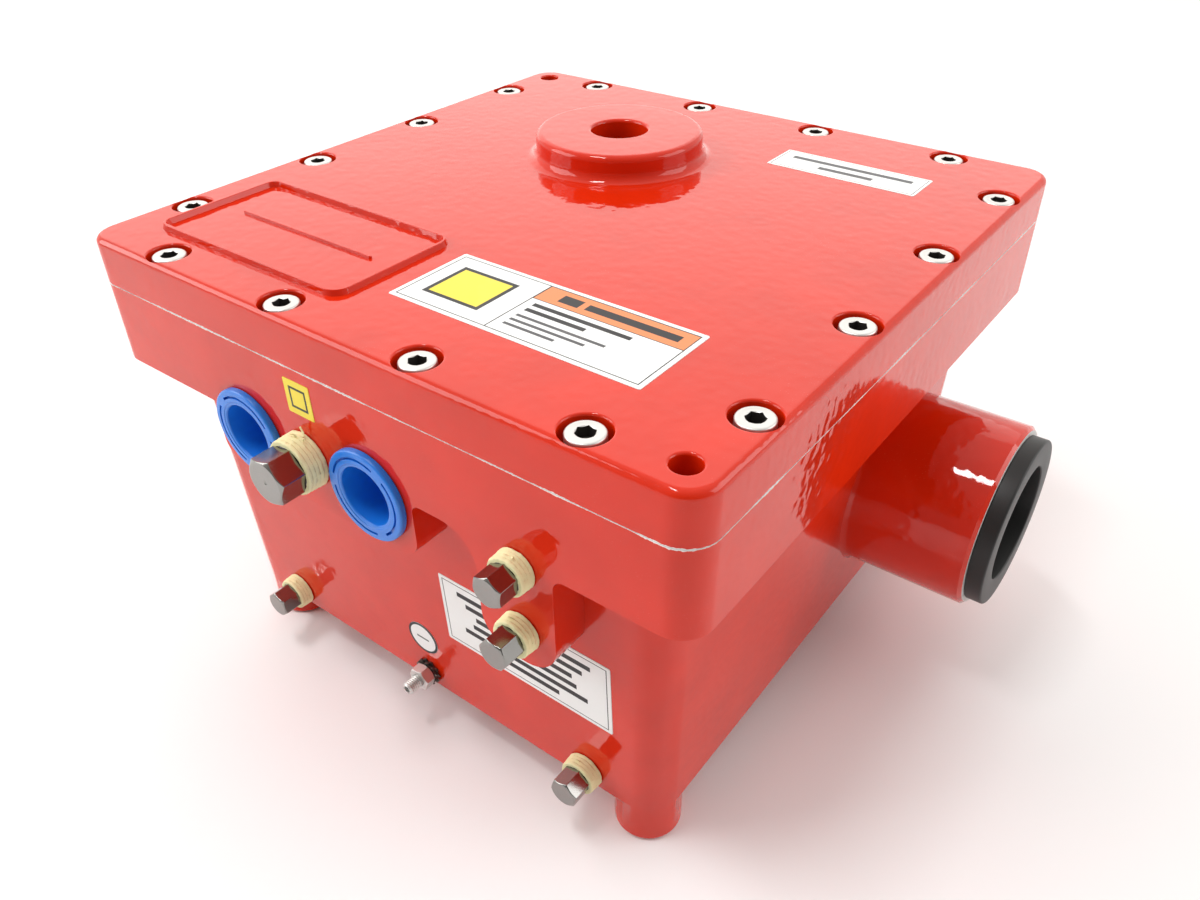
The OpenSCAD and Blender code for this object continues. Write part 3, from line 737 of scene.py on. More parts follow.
def border(half_x, half_y, inset, line, ground=WHITE_FILM):
    """Two layers that leave a thin printed line round a label."""
    outer = (0, 0, half_x - inset, half_y - inset, INK)
    inner = (0, 0, half_x - inset - line, half_y - inset - line, ground)
    return [outer, inner]


# --- Castings ----------------------------------------------------------

def screw_places():
    """The sixteen screw places, four along each side of the cover."""
    pitch = 68.2 * MM
    inset = 9.6 * MM
    along = [(i - 1.5) * pitch for i in range(4)]
    half_x, half_y = (side / 2 - inset for side in COVER_SIZE)
    rows = [(COVER_MID + a, side * half_y) for side in (-1, 1) for a in along]
    return rows + [(COVER_MID + side * half_x, a) for side in (-1, 1) for a in along]


def hole_tool(radius, depth, flare, at, turn=(0, 0, 0), steps=48):
    """A cutter whose mouth, at its origin, opens out in a small curve."""
    lip = arc(radius + flare, -flare, flare, 180, 90, 4)
    above = 6 * MM
    profile = [(0, -depth), (radius, -depth), *lip, (radius + flare, above), (0, above)]
    return place(lathe("hole_tool", profile, steps), at, turn)


def pad_outline(pad, radius, fillets):
    """Outline in (x, z) of a pad with rounded lower corners and fillets to the flange."""
    low_x, high_x, bottom = pad
    top = FLANGE + 6 * MM
    left, right = fillets
    points = []
    if left:
        points += arc(low_x - left, FLANGE - left, left, 90, 0, 8)
    else:
        points += [(low_x, top)]
    points += arc(low_x + radius, bottom + radius, radius, 180, 270, 8)
    points += arc(high_x - radius, bottom + radius, radius, 270, 360, 8)
    points += arc(high_x + right, FLANGE - right, right, 180, 90, 8)
    points += [(high_x + right, top)]
    points += [(low_x - left, top)] if left else []
    return points


def on_outline(edge):
    """True for the flange's lower edge and the pads' front edges."""
    a, b = (v.co for v in edge.verts)
    tiny = 0.02 * MM
    if edge.calc_face_angle(0) < radians(50) or max(a.z, b.z) > FLANGE + tiny:
        return False
    if abs(a.y - FRONT) < tiny and abs(b.y - FRONT) < tiny:
        return True
    level = abs(a.z - FLANGE) < tiny and abs(b.z - FLANGE) < tiny
    middle = (a + b) / 2
    far = max(abs(middle.x - COVER_MID) - COVER_SIZE[0] / 2, abs(middle.y) + FRONT)
    return level and far > -7 * MM


def housing_outside(sizes):
    """Flange, leaning box, feet, pads and sight tube as one casting."""
    shell = rounded_block("housing_shell", COVER_SIZE, sizes.corner, [(FLANGE, 0), (PARTING, 0)])
    place(shell, (COVER_MID, 0, 0))
    for pad, radius, fillets in ((PAD_LEFT, 9, (0, 4)), (PAD_RIGHT, 14, (16, 5))):
        outline = pad_outline(pad, radius * MM, [f * MM for f in fillets])
        block = prism("pad", outline, 30 * MM)
        join(shell, place(block, (0, FRONT + 30 * MM, 0), OUT_FRONT))
    round_edges(shell, on_outline, sizes.cast_edge, 3)
    top = [(FLANGE - sizes.cove, (FLANGE - sizes.cove - FLOOR) * math.tan(DRAFT))]
    flare = [(FLANGE - sizes.cove + y, top[0][1] + sizes.cove - x)
             for x, y in arc(0, 0, sizes.cove, 0, 90, 6)[1:]]
    levels = [(FLOOR, 0), *top, *flare, (FLANGE + 2 * MM, flare[-1][1])]
    box = rounded_block("box", FLOOR_SIZE, 13.8 * MM, levels)
    round_edges(box, lambda e: max(v.co.z for v in e.verts) < FLOOR + 0.1 * MM, 2.5 * MM, 3)
    join(shell, box)
    foot = [(0, 0), *arc(11.3 * MM, 2.5 * MM, 2.5 * MM, -90, 0, 5), (13.8 * MM, 30 * MM), (0, 30 * MM)]
    for x, y in FEET:
        join(shell, place(lathe("foot", foot, 48), (x, y, 0)))
    start = 112 * MM
    radius = 42 * MM
    root = 6 * MM
    chamfer = 1.5 * MM
    reach = TUBE_END - start
    skirt = 9 * MM
    tube = [(0, 0), (radius + root, 0), (radius + root, skirt)]
    tube += arc(radius + root, skirt + root, root, -90, -180, 8)[1:]
    tube += [(radius, reach - chamfer), (radius - chamfer, reach), (0, reach)]
    return join(shell, place(lathe("tube", tube, 96), (start, TUBE_Y, TUBE_Z), ALONG_X))


def housing_tools():
    """Everything that is cut out of the housing."""
    lift = 8 * MM
    rise = PARTING - FLOOR - lift
    inner = [s - 2 * WALL for s in FLOOR_SIZE]
    room = rounded_block("room", inner, 8.8 * MM,
                         [(FLOOR + lift, 0), (PARTING + MM, (rise + MM) * math.tan(DRAFT))])
    round_edges(room, lambda e: max(v.co.z for v in e.verts) < FLOOR + lift + 0.1 * MM, 4 * MM, 3)
    tools = [room]
    for x, y in screw_places():
        tools.append(hole_tool(4.06 * MM, 22 * MM, 0.8 * MM, (x, y, PARTING), steps=24))
    for x, y in FEET:
        tools.append(hole_tool(3.4 * MM, 16 * MM, 0.5 * MM, (x, y, 0), (math.pi, 0, 0), 24))
    bores = {"conduit_plug_left": 13.3, "conduit_plug_right": 13.3, "conduit_hex_plug": 10.7}
    for node, radius in bores.items():
        spot = centre(node)
        tools.append(hole_tool(radius * MM, 40 * MM, 0.6 * MM, (spot.x, FRONT, spot.z), OUT_FRONT))
    for x, z, _ in PORTS:
        face = FRONT if z > 100 else wall_y(z * MM)
        tools.append(hole_tool(6.6 * MM, 40 * MM, 0.4 * MM, (x * MM, face, z * MM), OUT_FRONT, 32))
    stud = centre("ground_stud")
    tools.append(hole_tool(2.93 * MM, 9 * MM, 0.2 * MM, (stud.x, wall_y(stud.z), stud.z), OUT_FRONT, 24))
    return tools


def tube_bore_tool():
    """Bore of the tube with the seat for its window."""
    seat = 32.5 * MM
    bore = 28 * MM
    deep = 90 * MM
    step = 16 * MM
    end = TUBE_END - deep
    flare = seat + 0.8 * MM
    profile = [(0, 0), (bore, 0), (bore, TUBE_END - step - deep), (seat, TUBE_END - step - deep),
               (seat, end - 0.6 * MM), (flare, end + 0.2 * MM), (flare, end + 4 * MM), (0, end + 4 * MM)]
    return place(lathe("bore", profile, 96), (deep, TUBE_Y, TUBE_Z), ALONG_X)


def seal_groove_tool():
    """Ring-shaped cutter of the groove for the cover seal."""
    w = FLOOR_SIZE[0] + 3.4 * MM
    d = FLOOR_SIZE[1] + 1.4 * MM
    half = 4 * MM
    low = PARTING - 3 * MM
    groove = [(low, 0), (PARTING + MM, 0)]
    island = [(low - MM, 0), (PARTING + 2 * MM, 0)]
    outer = rounded_block("groove", (w + half, d + half), 14 * MM, groove)
    return cut(outer, rounded_block("island", (w - half, d - half), 10 * MM, island))


def in_tube_bore(point, normal):
    """True inside the sight tube's bore."""
    off = Vector((0, point.y - TUBE_Y, point.z - TUBE_Z))
    turned_in = off.dot(normal) < -0.5 * off.length or point.x > 140 * MM
    return 122 * MM < point.x < TUBE_END - 1.6 * MM and off.length < 33.6 * MM and turned_in


def make_housing():
    sizes = bpy.context.scene.housing_shell
    shell = housing_outside(sizes)
    cut(shell, one_piece(housing_tools()))
    cut(shell, tube_bore_tool())
    cut(shell, seal_groove_tool())
    skins = [enamel(), bare_rim(), milled(), black_anodised()]
    finish(shell, "housing", skins, 34, ["housing_base"], True)
    paint_faces(shell, 1, lambda p, n: p.x > TUBE_END - 0.1 * MM)
    paint_faces(shell, 2, lambda p, n: p.z > PARTING - 0.1 * MM and n.z > 0.9)
    # painted shade: the faces inside the tube's bore get the black material, which darkens the bore
    paint_faces(shell, 3, in_tube_bore)


def name_plate(sizes, top):
    """Raised frame with leaning sides and a plain bar inside."""
    size = (111 * MM, 61 * MM)
    rim = 3.6 * MM
    rise = sizes.plate_rise
    outer = rounded_block("plate", size, 7 * MM, [(-MM, 0.9 * MM), (rise, 0)])
    inside = (size[0] - 2 * rim, size[1] - 2 * rim)
    levels = [(-2 * MM, -1.4 * MM), (0, -0.8 * MM), (rise + MM, 0.3 * MM)]
    inner = rounded_block("window", inside, 4 * MM, levels)
    cut(outer, inner)
    round_edges(outer, lambda e: min(v.co.z for v in e.verts) > rise - 0.1 * MM, 0.7 * MM, 3)
    bar = rounded_block("bar", (78 * MM, 1.8 * MM), 0.85 * MM, [(-MM, 0.3 * MM), (1.2 * MM, 0)], 4)
    round_edges(bar, lambda e: min(v.co.z for v in e.verts) > 1.1 * MM, 0.4 * MM, 2)
    place(bar, (MM, 0.5 * MM, 0))
    return place(one_piece([outer, bar]), (-77 * MM, -95.5 * MM, top))


def cover_tools(top):
    """Counterbores, corner holes, the sight hole and its window seat."""
    thick = top - PARTING
    tools = []
    shank_hole = 4.5 * MM
    depth = 8.7 * MM
    flare = 9.25 * MM
    lip = arc(flare, -0.9 * MM, 0.9 * MM, 180, 90, 4)
    profile = [(0, -thick - MM), (shank_hole, -thick - MM), (shank_hole, -depth), (8.35 * MM, -depth),
               *lip, (flare, 5 * MM), (0, 5 * MM)]
    for x, y in screw_places():
        tools.append(place(lathe("counterbore", profile, 40), (x, y, top)))
    inset = 13.1 * MM
    corner = (COVER_HIGH.x - COVER_MID - inset, COVER_HIGH.y - inset)
    for side in (-1, 1):
        at = (COVER_MID + side * corner[0], -side * corner[1], top)
        tools.append(hole_tool(4.9 * MM, thick + MM, 1.0 * MM, at, steps=40))
    hole = 13 * MM
    flare = 1.5 * MM
    nut_hole = 22 * MM
    glass_hole = 19.5 * MM
    rim = COVER_HIGH.z - PARTING
    lip = arc(hole + flare, rim - flare, flare, 180, 90, 5)
    ledge = GLASS_LOW.z - PARTING
    seat = GLASS_HIGH.z - PARTING + 0.7 * MM
    profile = [(0, -MM), (nut_hole, -MM), (nut_hole, ledge), (glass_hole, ledge), (glass_hole, seat),
               (hole, seat), *lip, (hole + flare, rim + 5 * MM), (0, rim + 5 * MM)]
    tools.append(place(lathe("sight_hole", profile, 72), (BOSS_X, BOSS_Y, PARTING)))
    return tools


def pocket_tool():
    """Shallow pocket of the cover's underside, with a collar left round the sight window."""
    levels = [(PARTING - MM, 0), (PARTING + 5 * MM, 0)]
    pocket = rounded_block("pocket", (204 * MM, 216 * MM), 14 * MM, levels)
    collar = lathe("collar", path((0, -2), (29, -2), (29, 10), (0, 10)))
    return cut(pocket, place(collar, (BOSS_X, BOSS_Y, PARTING)))


def make_cover():
    sizes = bpy.context.scene.housing_shell
    top = centre("cover_label").z - 0.1 * MM
    plate = rounded_block("cover_shell", COVER_SIZE, sizes.corner, [(PARTING, 0), (top, 0)])
    round_edges(plate, lambda e: min(v.co.z for v in e.verts) > top - 0.1 * MM, sizes.top_edge, 5)
    round_edges(plate, lambda e: max(v.co.z for v in e.verts) < PARTING + 0.1 * MM, 0.25 * MM, 2)
    place(plate, (COVER_MID, 0, 0))
    rise = COVER_HIGH.z - top
    radius = sizes.boss_radius
    boss = [(0, -MM), (radius + 5 * MM, -MM)]
    boss += arc(radius + 5 * MM, 5 * MM, 5 * MM, -90, -180, 7)
    boss += arc(radius - 3 * MM, rise - 3 * MM, 3 * MM, 0, 90, 6) + [(0, rise)]
    join(plate, place(lathe("boss", boss, 96), (BOSS_X, BOSS_Y, top)))
    join(plate, name_plate(sizes, top))
    cut(plate, one_piece(cover_tools(top)))
    cut(plate, pocket_tool())
    finish(plate, "cover_assembly", [enamel(), milled()], 34, ["cover"], True)
    paint_faces(plate, 1, lambda p, n: p.z < PARTING + 0.1 * MM and n.z < -0.9)


# --- Fasteners and fittings --------------------------------------------

def make_screws():
    sizes = bpy.context.scene.housing_fittings
    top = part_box("cover_screws")[1].z
    head_h = 8 * MM
    radius = sizes.screw_head
    lip = 0.8 * MM
    sunk = head_h - 0.06 * MM
    profile = path((0, -28), (3.2, -28), (4, -27), (4, 0)) + [(radius, 0), (radius, head_h - lip)]
    profile += arc(radius - lip, head_h - lip, lip, 0, 90, 4)
    profile += [(radius - 1.5 * MM, head_h), (radius - 1.7 * MM, sunk), (0, sunk)]
    screw = lathe("cover_screw_01", profile, 48)
    key = prism("key", hexagon(sizes.screw_key), 8 * MM)
    bottom = head_h - 4 * MM
    cut(screw, place(key, (0, 0, bottom)))
    throat = lathe("throat", path((0, -2.6), (3.75, 0.25), (3.75, 2), (0, 2)), 36)
    cut(screw, place(throat, (0, 0, head_h)))
    drill = lathe("drill", path((0, -1.5), (2.7, 0), (0, 0.5)), 36)
    cut(screw, place(drill, (0, 0, bottom)))
    places = screw_places()
    pieces = [screw] + [copy_of(screw, f"cover_screw_{i + 1:02d}") for i in range(1, len(places))]
    for i, (piece, spot) in enumerate(zip(pieces, places)):
        place(piece, (*spot, top - head_h), (0, 0, radians(37 * i % 60)))
        finish(piece, "cover_assembly", [stainless(), dark_steel()], 35, ["cover_screws"])
        axis = Vector(spot)
        # painted shade: the walls of the hex socket and its throat get the dark steel, which darkens the recess
        paint_faces(piece, 1, lambda p, n: top - 6 * MM < p.z < top - 0.5 * MM
                    and (p.xy - axis).length < 3.9 * MM)


def hex_plug(name, stem, stem_len, neck, flats, height):
    """Plug with a threaded stem, a short neck and a hexagon head chamfered round."""
    head = prism(name, hexagon(flats), height)
    face = flats / 2 - 0.4 * MM
    drop = (flats / math.cos(math.pi / 6) - flats) / 2 * 0.75
    side = height - drop - (flats - face) * 0.5
    mask = lathe("mask", [(0, -MM), (flats, -MM), (flats, side), (face, height), (0, height)], 64)
    combine(head, mask, "INTERSECT")
    soften(head, 0.25 * MM, 25)
    place(head, (0, 0, neck))
    waist = flats * 0.48
    body = [(0, -stem_len), (stem, -stem_len), (stem, neck * 0.93), (waist, neck * 0.99),
            (waist, neck + MM), (0, neck + MM)]
    return join(head, lathe("stem", body, 48))


def tape_wrap(name, inner, outer, reach, turns, seed):
    """Wound tape: overlapping turns with torn, uneven edges."""
    rag = bpy.context.scene.housing_fittings.tape_rag
    step = reach / turns
    thick = outer - inner
    profile = [(inner, 0.25 * MM)]
    for i in range(turns):
        top = outer - thick * 0.30 * i / turns
        start = i * step + 0.25 * MM
        for sink, share in ((0.2, 0), (0, 0.1), (0.1, 0.55), (0.42, 0.88)):
            profile.append((top - sink * MM, start + share * step))
    lip = inner * 0.9
    profile += [(inner, reach + 0.1 * MM), (lip, reach + 0.05 * MM), (lip, reach - 0.2 * MM),
                (inner, reach - 0.4 * MM), (inner, 0.25 * MM)]
    wrap = lathe(name, profile, 120)
    roughen(wrap, rag * 0.8, 3 * MM, seed)
    roughen(wrap, rag * 0.6, 0.9 * MM, seed + 5)
    return wrap


def tape_shred(start, leans, width):
    """A torn strip of tape that stands off the wrap, following leaning steps in mm."""
    points = [Vector(start) * MM]
    for lean in leans:
        points.append(points[-1] + Vector(lean) * MM)
    strip = start_point("shred", points[0])
    trace(points)
    take_all()
    across = (width * MM * 0.8, width * MM * 0.6, 0)
    bpy.ops.mesh.extrude_region_move(TRANSFORM_OT_translate={"value": across})
    bpy.ops.object.mode_set(mode="OBJECT")
    modify(strip, "Thickness", "SOLIDIFY", thickness=0.12 * MM, offset=0)
    return roughen(strip, 0.3 * MM, 1.2 * MM, 4)


def make_plugs():
    sizes = bpy.context.scene.housing_fittings
    entry = centre("conduit_hex_plug")
    plug = hex_plug("middle_entry_plug", 10.6 * MM, 16 * MM, 9 * MM, sizes.large_hex, 11 * MM)
    dimple = lathe("dimple", path((0, -0.8), (1.0, 0), (0, 0.4)), 24)
    cut(plug, place(dimple, (0.6 * MM, 0.2 * MM, 20 * MM)))
    on_front(plug, entry.x, FRONT, entry.z, 12)
    finish(plug, "housing", [brushed_steel()], 30, ["conduit_hex_plug"], True)
    wrap = tape_wrap("middle_entry_tape", 10.7 * MM, 11.8 * MM, 8.9 * MM, 5, 1)
    shreds = [tape_shred((2, 11.1, 2), [(0.3, 1.6, -0.4), (-0.4, 1.9, 0.3), (0.5, 1.6, 0.6)], 1.3),
              tape_shred((3.6, 10.7, 3), [(0.6, 1.2, 0.5), (0.9, 0.9, 0.2)], 1.8),
              tape_shred((0.2, 11.2, 3.5), [(-0.8, 1.0, 0.4), (-0.9, 0.3, 0.9)], 1.5)]
    one_piece([wrap, *shreds])
    place(wrap, (entry.x, FRONT, entry.z), OUT_FRONT)
    finish(wrap, "housing", [sealing_tape()], 50, ["conduit_tape"])
    for i, (x, z, turn) in enumerate(PORTS):
        face = FRONT if z > 100 else wall_y(z * MM) - 0.3 * MM
        small = hex_plug(f"port_plug_{i + 1}", 6.5 * MM, 8 * MM, 6 * MM, sizes.small_hex, 9 * MM)
        on_front(small, x * MM, face, z * MM, turn)
        finish(small, "housing", [brushed_steel()], 30, ["port_hex_plugs"], True)
        wrap = tape_wrap(f"port_tape_{i + 1}", 6.7 * MM, 8.2 * MM, 6 * MM, 4, 3 + i)
        lean = (-1) ** i
        shred = tape_shred((lean, 7.2, 3), [(0.3 * lean, 0.8, 0.5), (lean, 0.5, 0.9)], 1)
        one_piece([wrap, shred])
        place(wrap, (x * MM, face, z * MM), OUT_FRONT)
        finish(wrap, "housing", [sealing_tape()], 50, ["port_tapes"])


def make_blue_plugs():
    sizes = bpy.context.scene.housing_fittings
    rim = sizes.blue_flange
    cup = 12.2 * MM
    stem = 13.2 * MM
    thick = 3 * MM
    floor = -18 * MM
    profile = [(0, -20 * MM), *arc(stem - MM, -19 * MM, MM, -90, 0, 3), (stem, 0), (rim - 0.5 * MM, 0)]
    profile += [(rim, 0.5 * MM), *arc(rim - MM, thick - MM, MM, 0, 90, 4)]
    profile += [(rim - 5.2 * MM, thick), (rim - 5.5 * MM, thick - 0.25 * MM)]
    lip = 0.7 * MM
    curve = 1.5 * MM
    profile += arc(cup + lip, thick - 0.95 * MM, lip, 90, 180, 4)
    profile += arc(cup - curve, floor + curve, curve, 0, -90, 4) + [(0, floor)]
    plug = lathe("blue_plug_left", profile, 96)
    slots = []
    for middle in (80, 200, 320):
        start, end = middle - 50, middle + 50
        outline = arc(0, 0, rim - 2.6 * MM, start, end, 24) + arc(0, 0, rim - 3.6 * MM, end, start, 24)
        slots.append(place(prism("slot", outline, 4 * MM), (0, 0, thick - 1.3 * MM)))
    cut(plug, one_piece(slots))
    twin = copy_of(plug, "blue_plug_right")
    for piece, node, body, turn in ((plug, "conduit_plug_left", "left_plug", 0),
                                    (twin, "conduit_plug_right", "right_plug", 35)):
        entry = centre(node)
        on_front(piece, entry.x, FRONT, entry.z, turn)
        finish(piece, body, [blue_plastic()], 35, [node])


def make_ground():
    stud_at = centre("ground_stud")
    wall = wall_y(stud_at.z)
    at = (stud_at.x, wall, stud_at.z)
    core = 2.55 * MM
    crest = 2.95 * MM
    profile = path((0, -10), (2.85, -10), (2.85, 8)) + [(core, 8 * MM)]
    for i in range(6):
        z = 8.2 * MM + i * MM
        profile += [(crest, z + 0.35 * MM), (crest, z + 0.5 * MM), (core, z + 0.85 * MM)]
    profile += [(core, 14.1 * MM), (core - 0.4 * MM, 14.5 * MM), (0, 14.5 * MM)]
    stud = lathe("ground_stud_turned", profile, 40)
    socket = place(prism("socket", hexagon(3 * MM), 5 * MM), (0, 0, 12 * MM))
    cut(stud, socket)
    place(stud, at, OUT_FRONT)
    finish(stud, "housing", [stainless()], 40, ["ground_stud"])
    nut = prism("ground_nut_turned", hexagon(10 * MM, 10), 5 * MM)
    dome = lathe("dome", path((0, 0), (4.9, 0), (5.8, 0.5), (5.8, 4.4), (4.9, 5), (0, 5)), 48)
    combine(nut, dome, "INTERSECT")
    bore = lathe("bore", path((0, -1), (2.93, -1), (2.93, 4.6), (3.5, 6), (0, 6)), 40)
    cut(nut, bore)
    soften(nut, 0.15 * MM, 30)
    nut_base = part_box("ground_nut")[1].y
    place(nut, (stud_at.x, nut_base, stud_at.z), OUT_FRONT)
    finish(nut, "housing", [stainless()], 35, ["ground_nut"], True)
    for i in range(2):
        flat = path((3.2, 0), (5.2, 0), (5.2, 0.9), (3.2, 0.9), (3.2, 0))
        washer = lathe("ground_washer_" + "ab"[i], flat, 60)
        teeth = []
        for k in range(10):
            tooth = rounded_block("tooth", (2.4 * MM, 1.7 * MM), 0.3 * MM, [(-0.4 * MM, 0), (0.4 * MM, 0)], 2)
            place(tooth, (5.2 * MM, 0, 0.45 * MM), (radians(28), 0, 0))
            teeth.append(place(tooth, (0, 0, 0), (0, 0, radians(36 * k + 12 * i))))
        one_piece([washer, *teeth])
        place(washer, (stud_at.x, wall - (0.3 + 1.2 * i) * MM, stud_at.z), OUT_FRONT)
        finish(washer, "housing", [dark_steel()], 35, ["ground_washers"])


def make_lens_ring():
    inner = 26.5 * MM
    outer = (RING_HIGH.z - RING_LOW.z) / 2
    spigot = 32.4 * MM
    proud = RING_HIGH.x - TUBE_END
    back = TUBE_END - RING_LOW.x
    profile = [(inner, -back), (spigot, -back), (spigot, 0), (outer - 0.4 * MM, 0), (outer, 0.4 * MM)]
    profile += arc(outer - MM, proud - MM, MM, 0, 90, 4)
    profile += arc(inner + 0.8 * MM, proud - 0.8 * MM, 0.8 * MM, 90, 180, 4)
    profile += [(inner, -back)]
    ring = place(lathe("lens_ring_turned", profile, 128), (TUBE_END, TUBE_Y, TUBE_Z), ALONG_X)
    finish(ring, "lens_ring_part", [black_anodised()], 35, ["lens_ring"])


# --- Labels ------------------------------------------------------------

def make_labels():
    amber = rgba(colour_of("amber"))
    orange = rgba(colour_of("orange"))
    cover = border(55.1, 20.2, 1.9, 0.45) + [
        (-10.6, 0, 0.25, 18.3, INK), (21.3, 12.6, 31.9, 5.6, INK), (21.3, 12.6, 31.5, 5.2, orange),
        (-33.5, 0, 13.4, 11.6, INK), (-33.5, 0, 11.6, 9.8, amber),
        (2.6, 12.6, 4.4, 2.6, INK), (29, 12.6, 19.4, 2.0, INK),
        (14, 3.4, 21, 1.1, INK), (6, -0.8, 13, 1.1, INK),
        (12, -5.6, 19, 0.75, PALE_INK), (9, -9.0, 16, 0.75, PALE_INK), (4, -12.4, 11, 0.75, PALE_INK)]
    torque = border(35.4, 10.95, 1.2, 0.3) + [(0, 3.4, 29, 1.5, PALE_INK), (0, -3.4, 13, 1.5, PALE_INK)]
    lines = ((12, 33), (7.2, 29), (2.4, 24), (-2.4, 26), (-7.2, 31), (-12, 17))
    gas = border(42.1, 18.45, 1.6, 0.4) + [(0, height, half, 1.25, INK) for height, half in lines]
    entry = [(0, 0, 9, 9, amber), (0, 0, 4.6, 4.6, INK), (0, 0, 3.6, 3.6, amber)]
    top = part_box("cover_label")[0].z

    def where(node, side):
        """Place, turn and body of a label on the top, the front or the leaning wall."""
        spot = centre(node)
        if side == "top":
            return (spot.x, spot.y, top), (0, 0, 0), "cover_assembly"
        if side == "front":
            return (spot.x, FRONT, spot.z), OUT_FRONT, "housing"
        return (spot.x, wall_y(spot.z) - 0.01 * MM, spot.z), (QUARTER + DRAFT, 0, 0), "housing"

    for node, size, radius, side, layers in (
            ("cover_label", (110.2 * MM, 40.4 * MM), 0.8 * MM, "top", cover),
            ("torque_label", (70.8 * MM, 21.9 * MM), 0.8 * MM, "top", torque),
            ("gas_label", (84.3 * MM, 36.9 * MM), 0.8 * MM, "wall", gas),
            ("entry_sticker", (14.2 * MM, 14.7 * MM), 0.6 * MM, "front", entry)):
        at, turn, body = where(node, side)
        sheet = rounded_block(node + "_film", size, radius, [(0.01 * MM, 0), (0.2 * MM, -0.08 * MM)], 5)
        place(sheet, at, turn)
        finish(sheet, body, [label_skin(node, side == "top", layers)], 30, [node])
    at, turn, body = where("ground_sticker", "wall")
    disc = lathe("ground_sticker_film", path((0, 0.01), (8.5, 0.01), (8.4, 0.2), (0, 0.2)))
    place(disc, at, turn)
    skin = label_skin("ground_sticker", False, [(0, 0, 3.6, 0.5, PALE_INK)])
    finish(disc, body, [skin], 30, ["ground_sticker"])
    rim = path((7.3, 0.15), (8.5, 0.15), (8.45, 0.24), (7.35, 0.24), (7.3, 0.15))
    rim = place(lathe("ground_sticker_rim", rim), at, turn)
    finish(rim, body, [black_plastic()], 30)


# --- Carried-over CAD nodes --------------------------------------------

CARRIED = {
    "black_rubber": (black_rubber, ["cover_seal", "sight_window_seal", "front_window_seal"]),
    "glass": (glass, ["sight_window", "front_window", "objective_lens", "beam_splitter", "eyepiece_lens"]),
    "black_anodised": (black_anodised, ["sight_window_nut", "lens_retainer", "focus_barrel", "focus_knob",
                                        "eyepiece_barrel", "chopper_wheel"]),
    "milled": (milled, ["optical_bench", "lens_mount", "pinion_bracket", "mirror_mount", "motor_bracket",
                        "detector_bracket", "chopper_motor"]),
    "stainless": (stainless, ["bench_standoffs", "bench_screws", "board_standoffs", "board_screws",
                              "chopper_shaft", "terminal_screws"]),
    "brass": (brass, ["focus_rack", "focus_pinion", "detector_module"]),
    "board": (circuit_board, ["main_board", "detector_board"]),
    "terminals": (terminal_green, ["terminal_block"]),
    "black_plastic": (black_plastic, ["power_module", "capacitors"]),
}


def dress_nodes():
    for kind, (skin, names) in CARRIED.items():
        for name in names:
            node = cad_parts[name]
            node.data.materials.clear()
            node.data.materials.append(skin())
            if kind in ("glass", "black_rubber"):
                continue
            add_step(node, "Weld", "WELD", merge_threshold=0.002 * MM)
            add_step(node, "Edges", "BEVEL", width=0.25 * MM, segments=2, limit_method="ANGLE",
                     angle_limit=radians(50))


# --- Stage -------------------------------------------------------------

def look_at(thing, at, target):
    thing.location = at
    thing.rotation_euler = (Vector(target) - Vector(at)).to_track_quat("-Z", "Y").to_euler()


def soft_light(name, at, target, size, power, colour=(1, 1, 1)):
    clean()
    bpy.ops.object.light_add(type="AREA")
    lamp = bpy.context.object
    lamp.name = name
    lamp.data.shape = "RECTANGLE"
    lamp.data.size, lamp.data.size_y = size
    lamp.data.energy = power
    lamp.data.color = colour
    look_at(lamp, at, target)


def make_stage():
    flat = 2.8
    lip = 0.15
    profile = [(0, 0), (flat, 0)] + arc(flat, lip, lip, -90, -20, 8)[1:]
    sweep = lathe("pale_sweep", profile, 96)
    with editing(sweep):
        take_all()
        bpy.ops.mesh.normals_make_consistent(inside=True)
    focus(sweep)
    bpy.ops.object.shade_smooth()
    sweep.data.materials.append(floor_paint())
    world = bpy.data.worlds.new("Studio")
    bpy.context.scene.world = world
    world.use_nodes = True
    graph = Graph(world.node_tree)
    shade = world.node_tree.nodes["Background"].inputs
    shade["Color"].default_value = (1.0, 0.975, 0.935, 1)
    ahead = graph.add("ShaderNodeTexCoord").outputs["Generated"]
    toward = graph.add("ShaderNodeVectorMath", {0: ahead, 1: (0.55, -0.83, -0.05)}, operation="DOT_PRODUCT")
    studio = graph.range(toward.outputs["Value"], -0.25, 0.9, 1.14, 0.2)
    seen = graph.add("ShaderNodeLightPath").outputs["Is Camera Ray"]
    graph.feed(shade["Strength"], graph.range(seen, 0.0, 1.0, studio, 1.1))
    warm = (1, 0.98, 0.95)
    soft_light("bright_wall", (-2.0, 2.1, 1.65), (0, 0, 0.25), (4.5, 3.3), 36, warm)
    soft_light("left_front", (-1.6, -1.2, 1.1), (0, 0, 0.1), (1.4, 1.4), 26)
    soft_light("right_back", (1.7, 0.9, 1.0), (0, 0, 0.1), (1.4, 1.2), 14)
    soft_light("ceiling_lamp", (-0.29, -0.53, 1.97), (0.1, 0, 0.1), (0.62, 0.16), 11)
    clean()
    bpy.ops.object.camera_add(location=(0.24499, -0.3204, 0.3635))
    camera = bpy.context.object
    forward = Vector((-0.4952, 0.6426, -0.5847)).normalized()
    right = Vector((0.7972, 0.6035, -0.0119))
    right = (right - forward * right.dot(forward)).normalized()
    up = right.cross(forward)
    turn = [[right[i], up[i], -forward[i]] for i in range(3)]
    camera.rotation_euler = Matrix(turn).to_euler()
    camera.data.lens = 29.85
    camera.data.sensor_width = 36
    camera.data.clip_start = 0.01
    bpy.context.scene.camera = camera
    view = bpy.context.scene.view_settings
    view.view_transform = "Standard"
    view.look = "None"
    view.exposure = -0.14


# --- Operators, panel and registration ---------------------------------

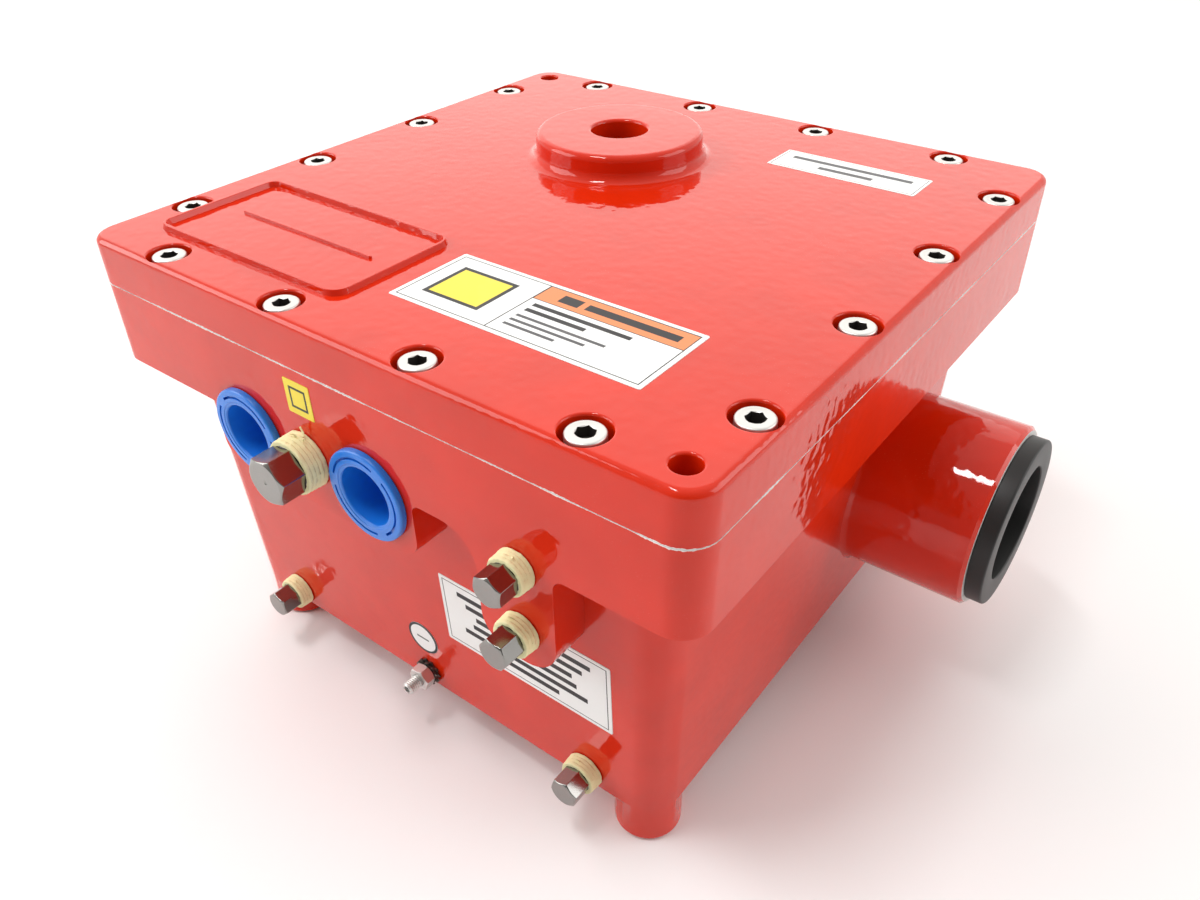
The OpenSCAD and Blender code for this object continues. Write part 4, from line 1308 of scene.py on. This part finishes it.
def operator(key, label, text, work):
    """An operator that runs one builder."""
    def execute(self, context):
        work()
        return {"FINISHED"}
    return type("HOUSING_OT_" + key, (bpy.types.Operator,), {
        "bl_idname": "housing." + key, "bl_label": label, "__doc__": text,
        "bl_options": {"REGISTER", "UNDO"}, "execute": execute})


STEPS = [
    operator("stage", "Stage", "Add the pale sweep, the soft lights and the camera", make_stage),
    operator("casting", "Housing", "Model the cast housing with its pads, feet and sight tube", make_housing),
    operator("cover", "Cover", "Model the cover with its boss, name plate and counterbores", make_cover),
    operator("screws", "Cover screws", "Model one socket screw and copy it to sixteen places", make_screws),
    operator("plugs", "Hex plugs", "Model the steel plugs and their wound tape", make_plugs),
    operator("blue_plugs", "Blue plugs", "Model the two slotted transport plugs", make_blue_plugs),
    operator("ground", "Ground stud", "Model the stud, its nut and its toothed washers", make_ground),
    operator("lens_ring", "Lens ring", "Model the turned ring at the tube's end", make_lens_ring),
    operator("labels", "Labels", "Add the blank labels and stickers", make_labels),
    operator("inner", "Inner parts", "Give the parts inside their finishes", dress_nodes),
]


class HOUSING_PT_panel(bpy.types.Panel):
    """Lists the sizes, the colours and the steps."""
    bl_label = "Sight Housing"
    bl_idname = "HOUSING_PT_panel"
    bl_space_type = "VIEW_3D"
    bl_region_type = "UI"
    bl_category = "Sight Housing"

    def draw(self, context):
        for owner in (context.scene.housing_shell, context.scene.housing_fittings, context.scene.housing_colours):
            box = self.layout.box()
            for key in owner.__annotations__:
                box.prop(owner, key)
        for step in STEPS:
            self.layout.operator(step.bl_idname)


CLASSES = [ShellSizes, FittingSizes, Colours, *STEPS, HOUSING_PT_panel]


def register():
    for item in CLASSES:
        bpy.utils.register_class(item)
    scene = bpy.types.Scene
    scene.housing_shell = bpy.props.PointerProperty(type=ShellSizes)
    scene.housing_fittings = bpy.props.PointerProperty(type=FittingSizes)
    scene.housing_colours = bpy.props.PointerProperty(type=Colours)


def unregister():
    for key in ("housing_shell", "housing_fittings", "housing_colours"):
        delattr(bpy.types.Scene, key)
    for item in reversed(CLASSES):
        bpy.utils.unregister_class(item)


def main():
    register()
    for step in STEPS:
        group_name, key = step.bl_idname.split(".")
        result = getattr(getattr(bpy.ops, group_name), key)()
        if "FINISHED" not in result:
            raise RuntimeError(f"{step.bl_label} didn't finish")


if __name__ == "__main__":
    main()
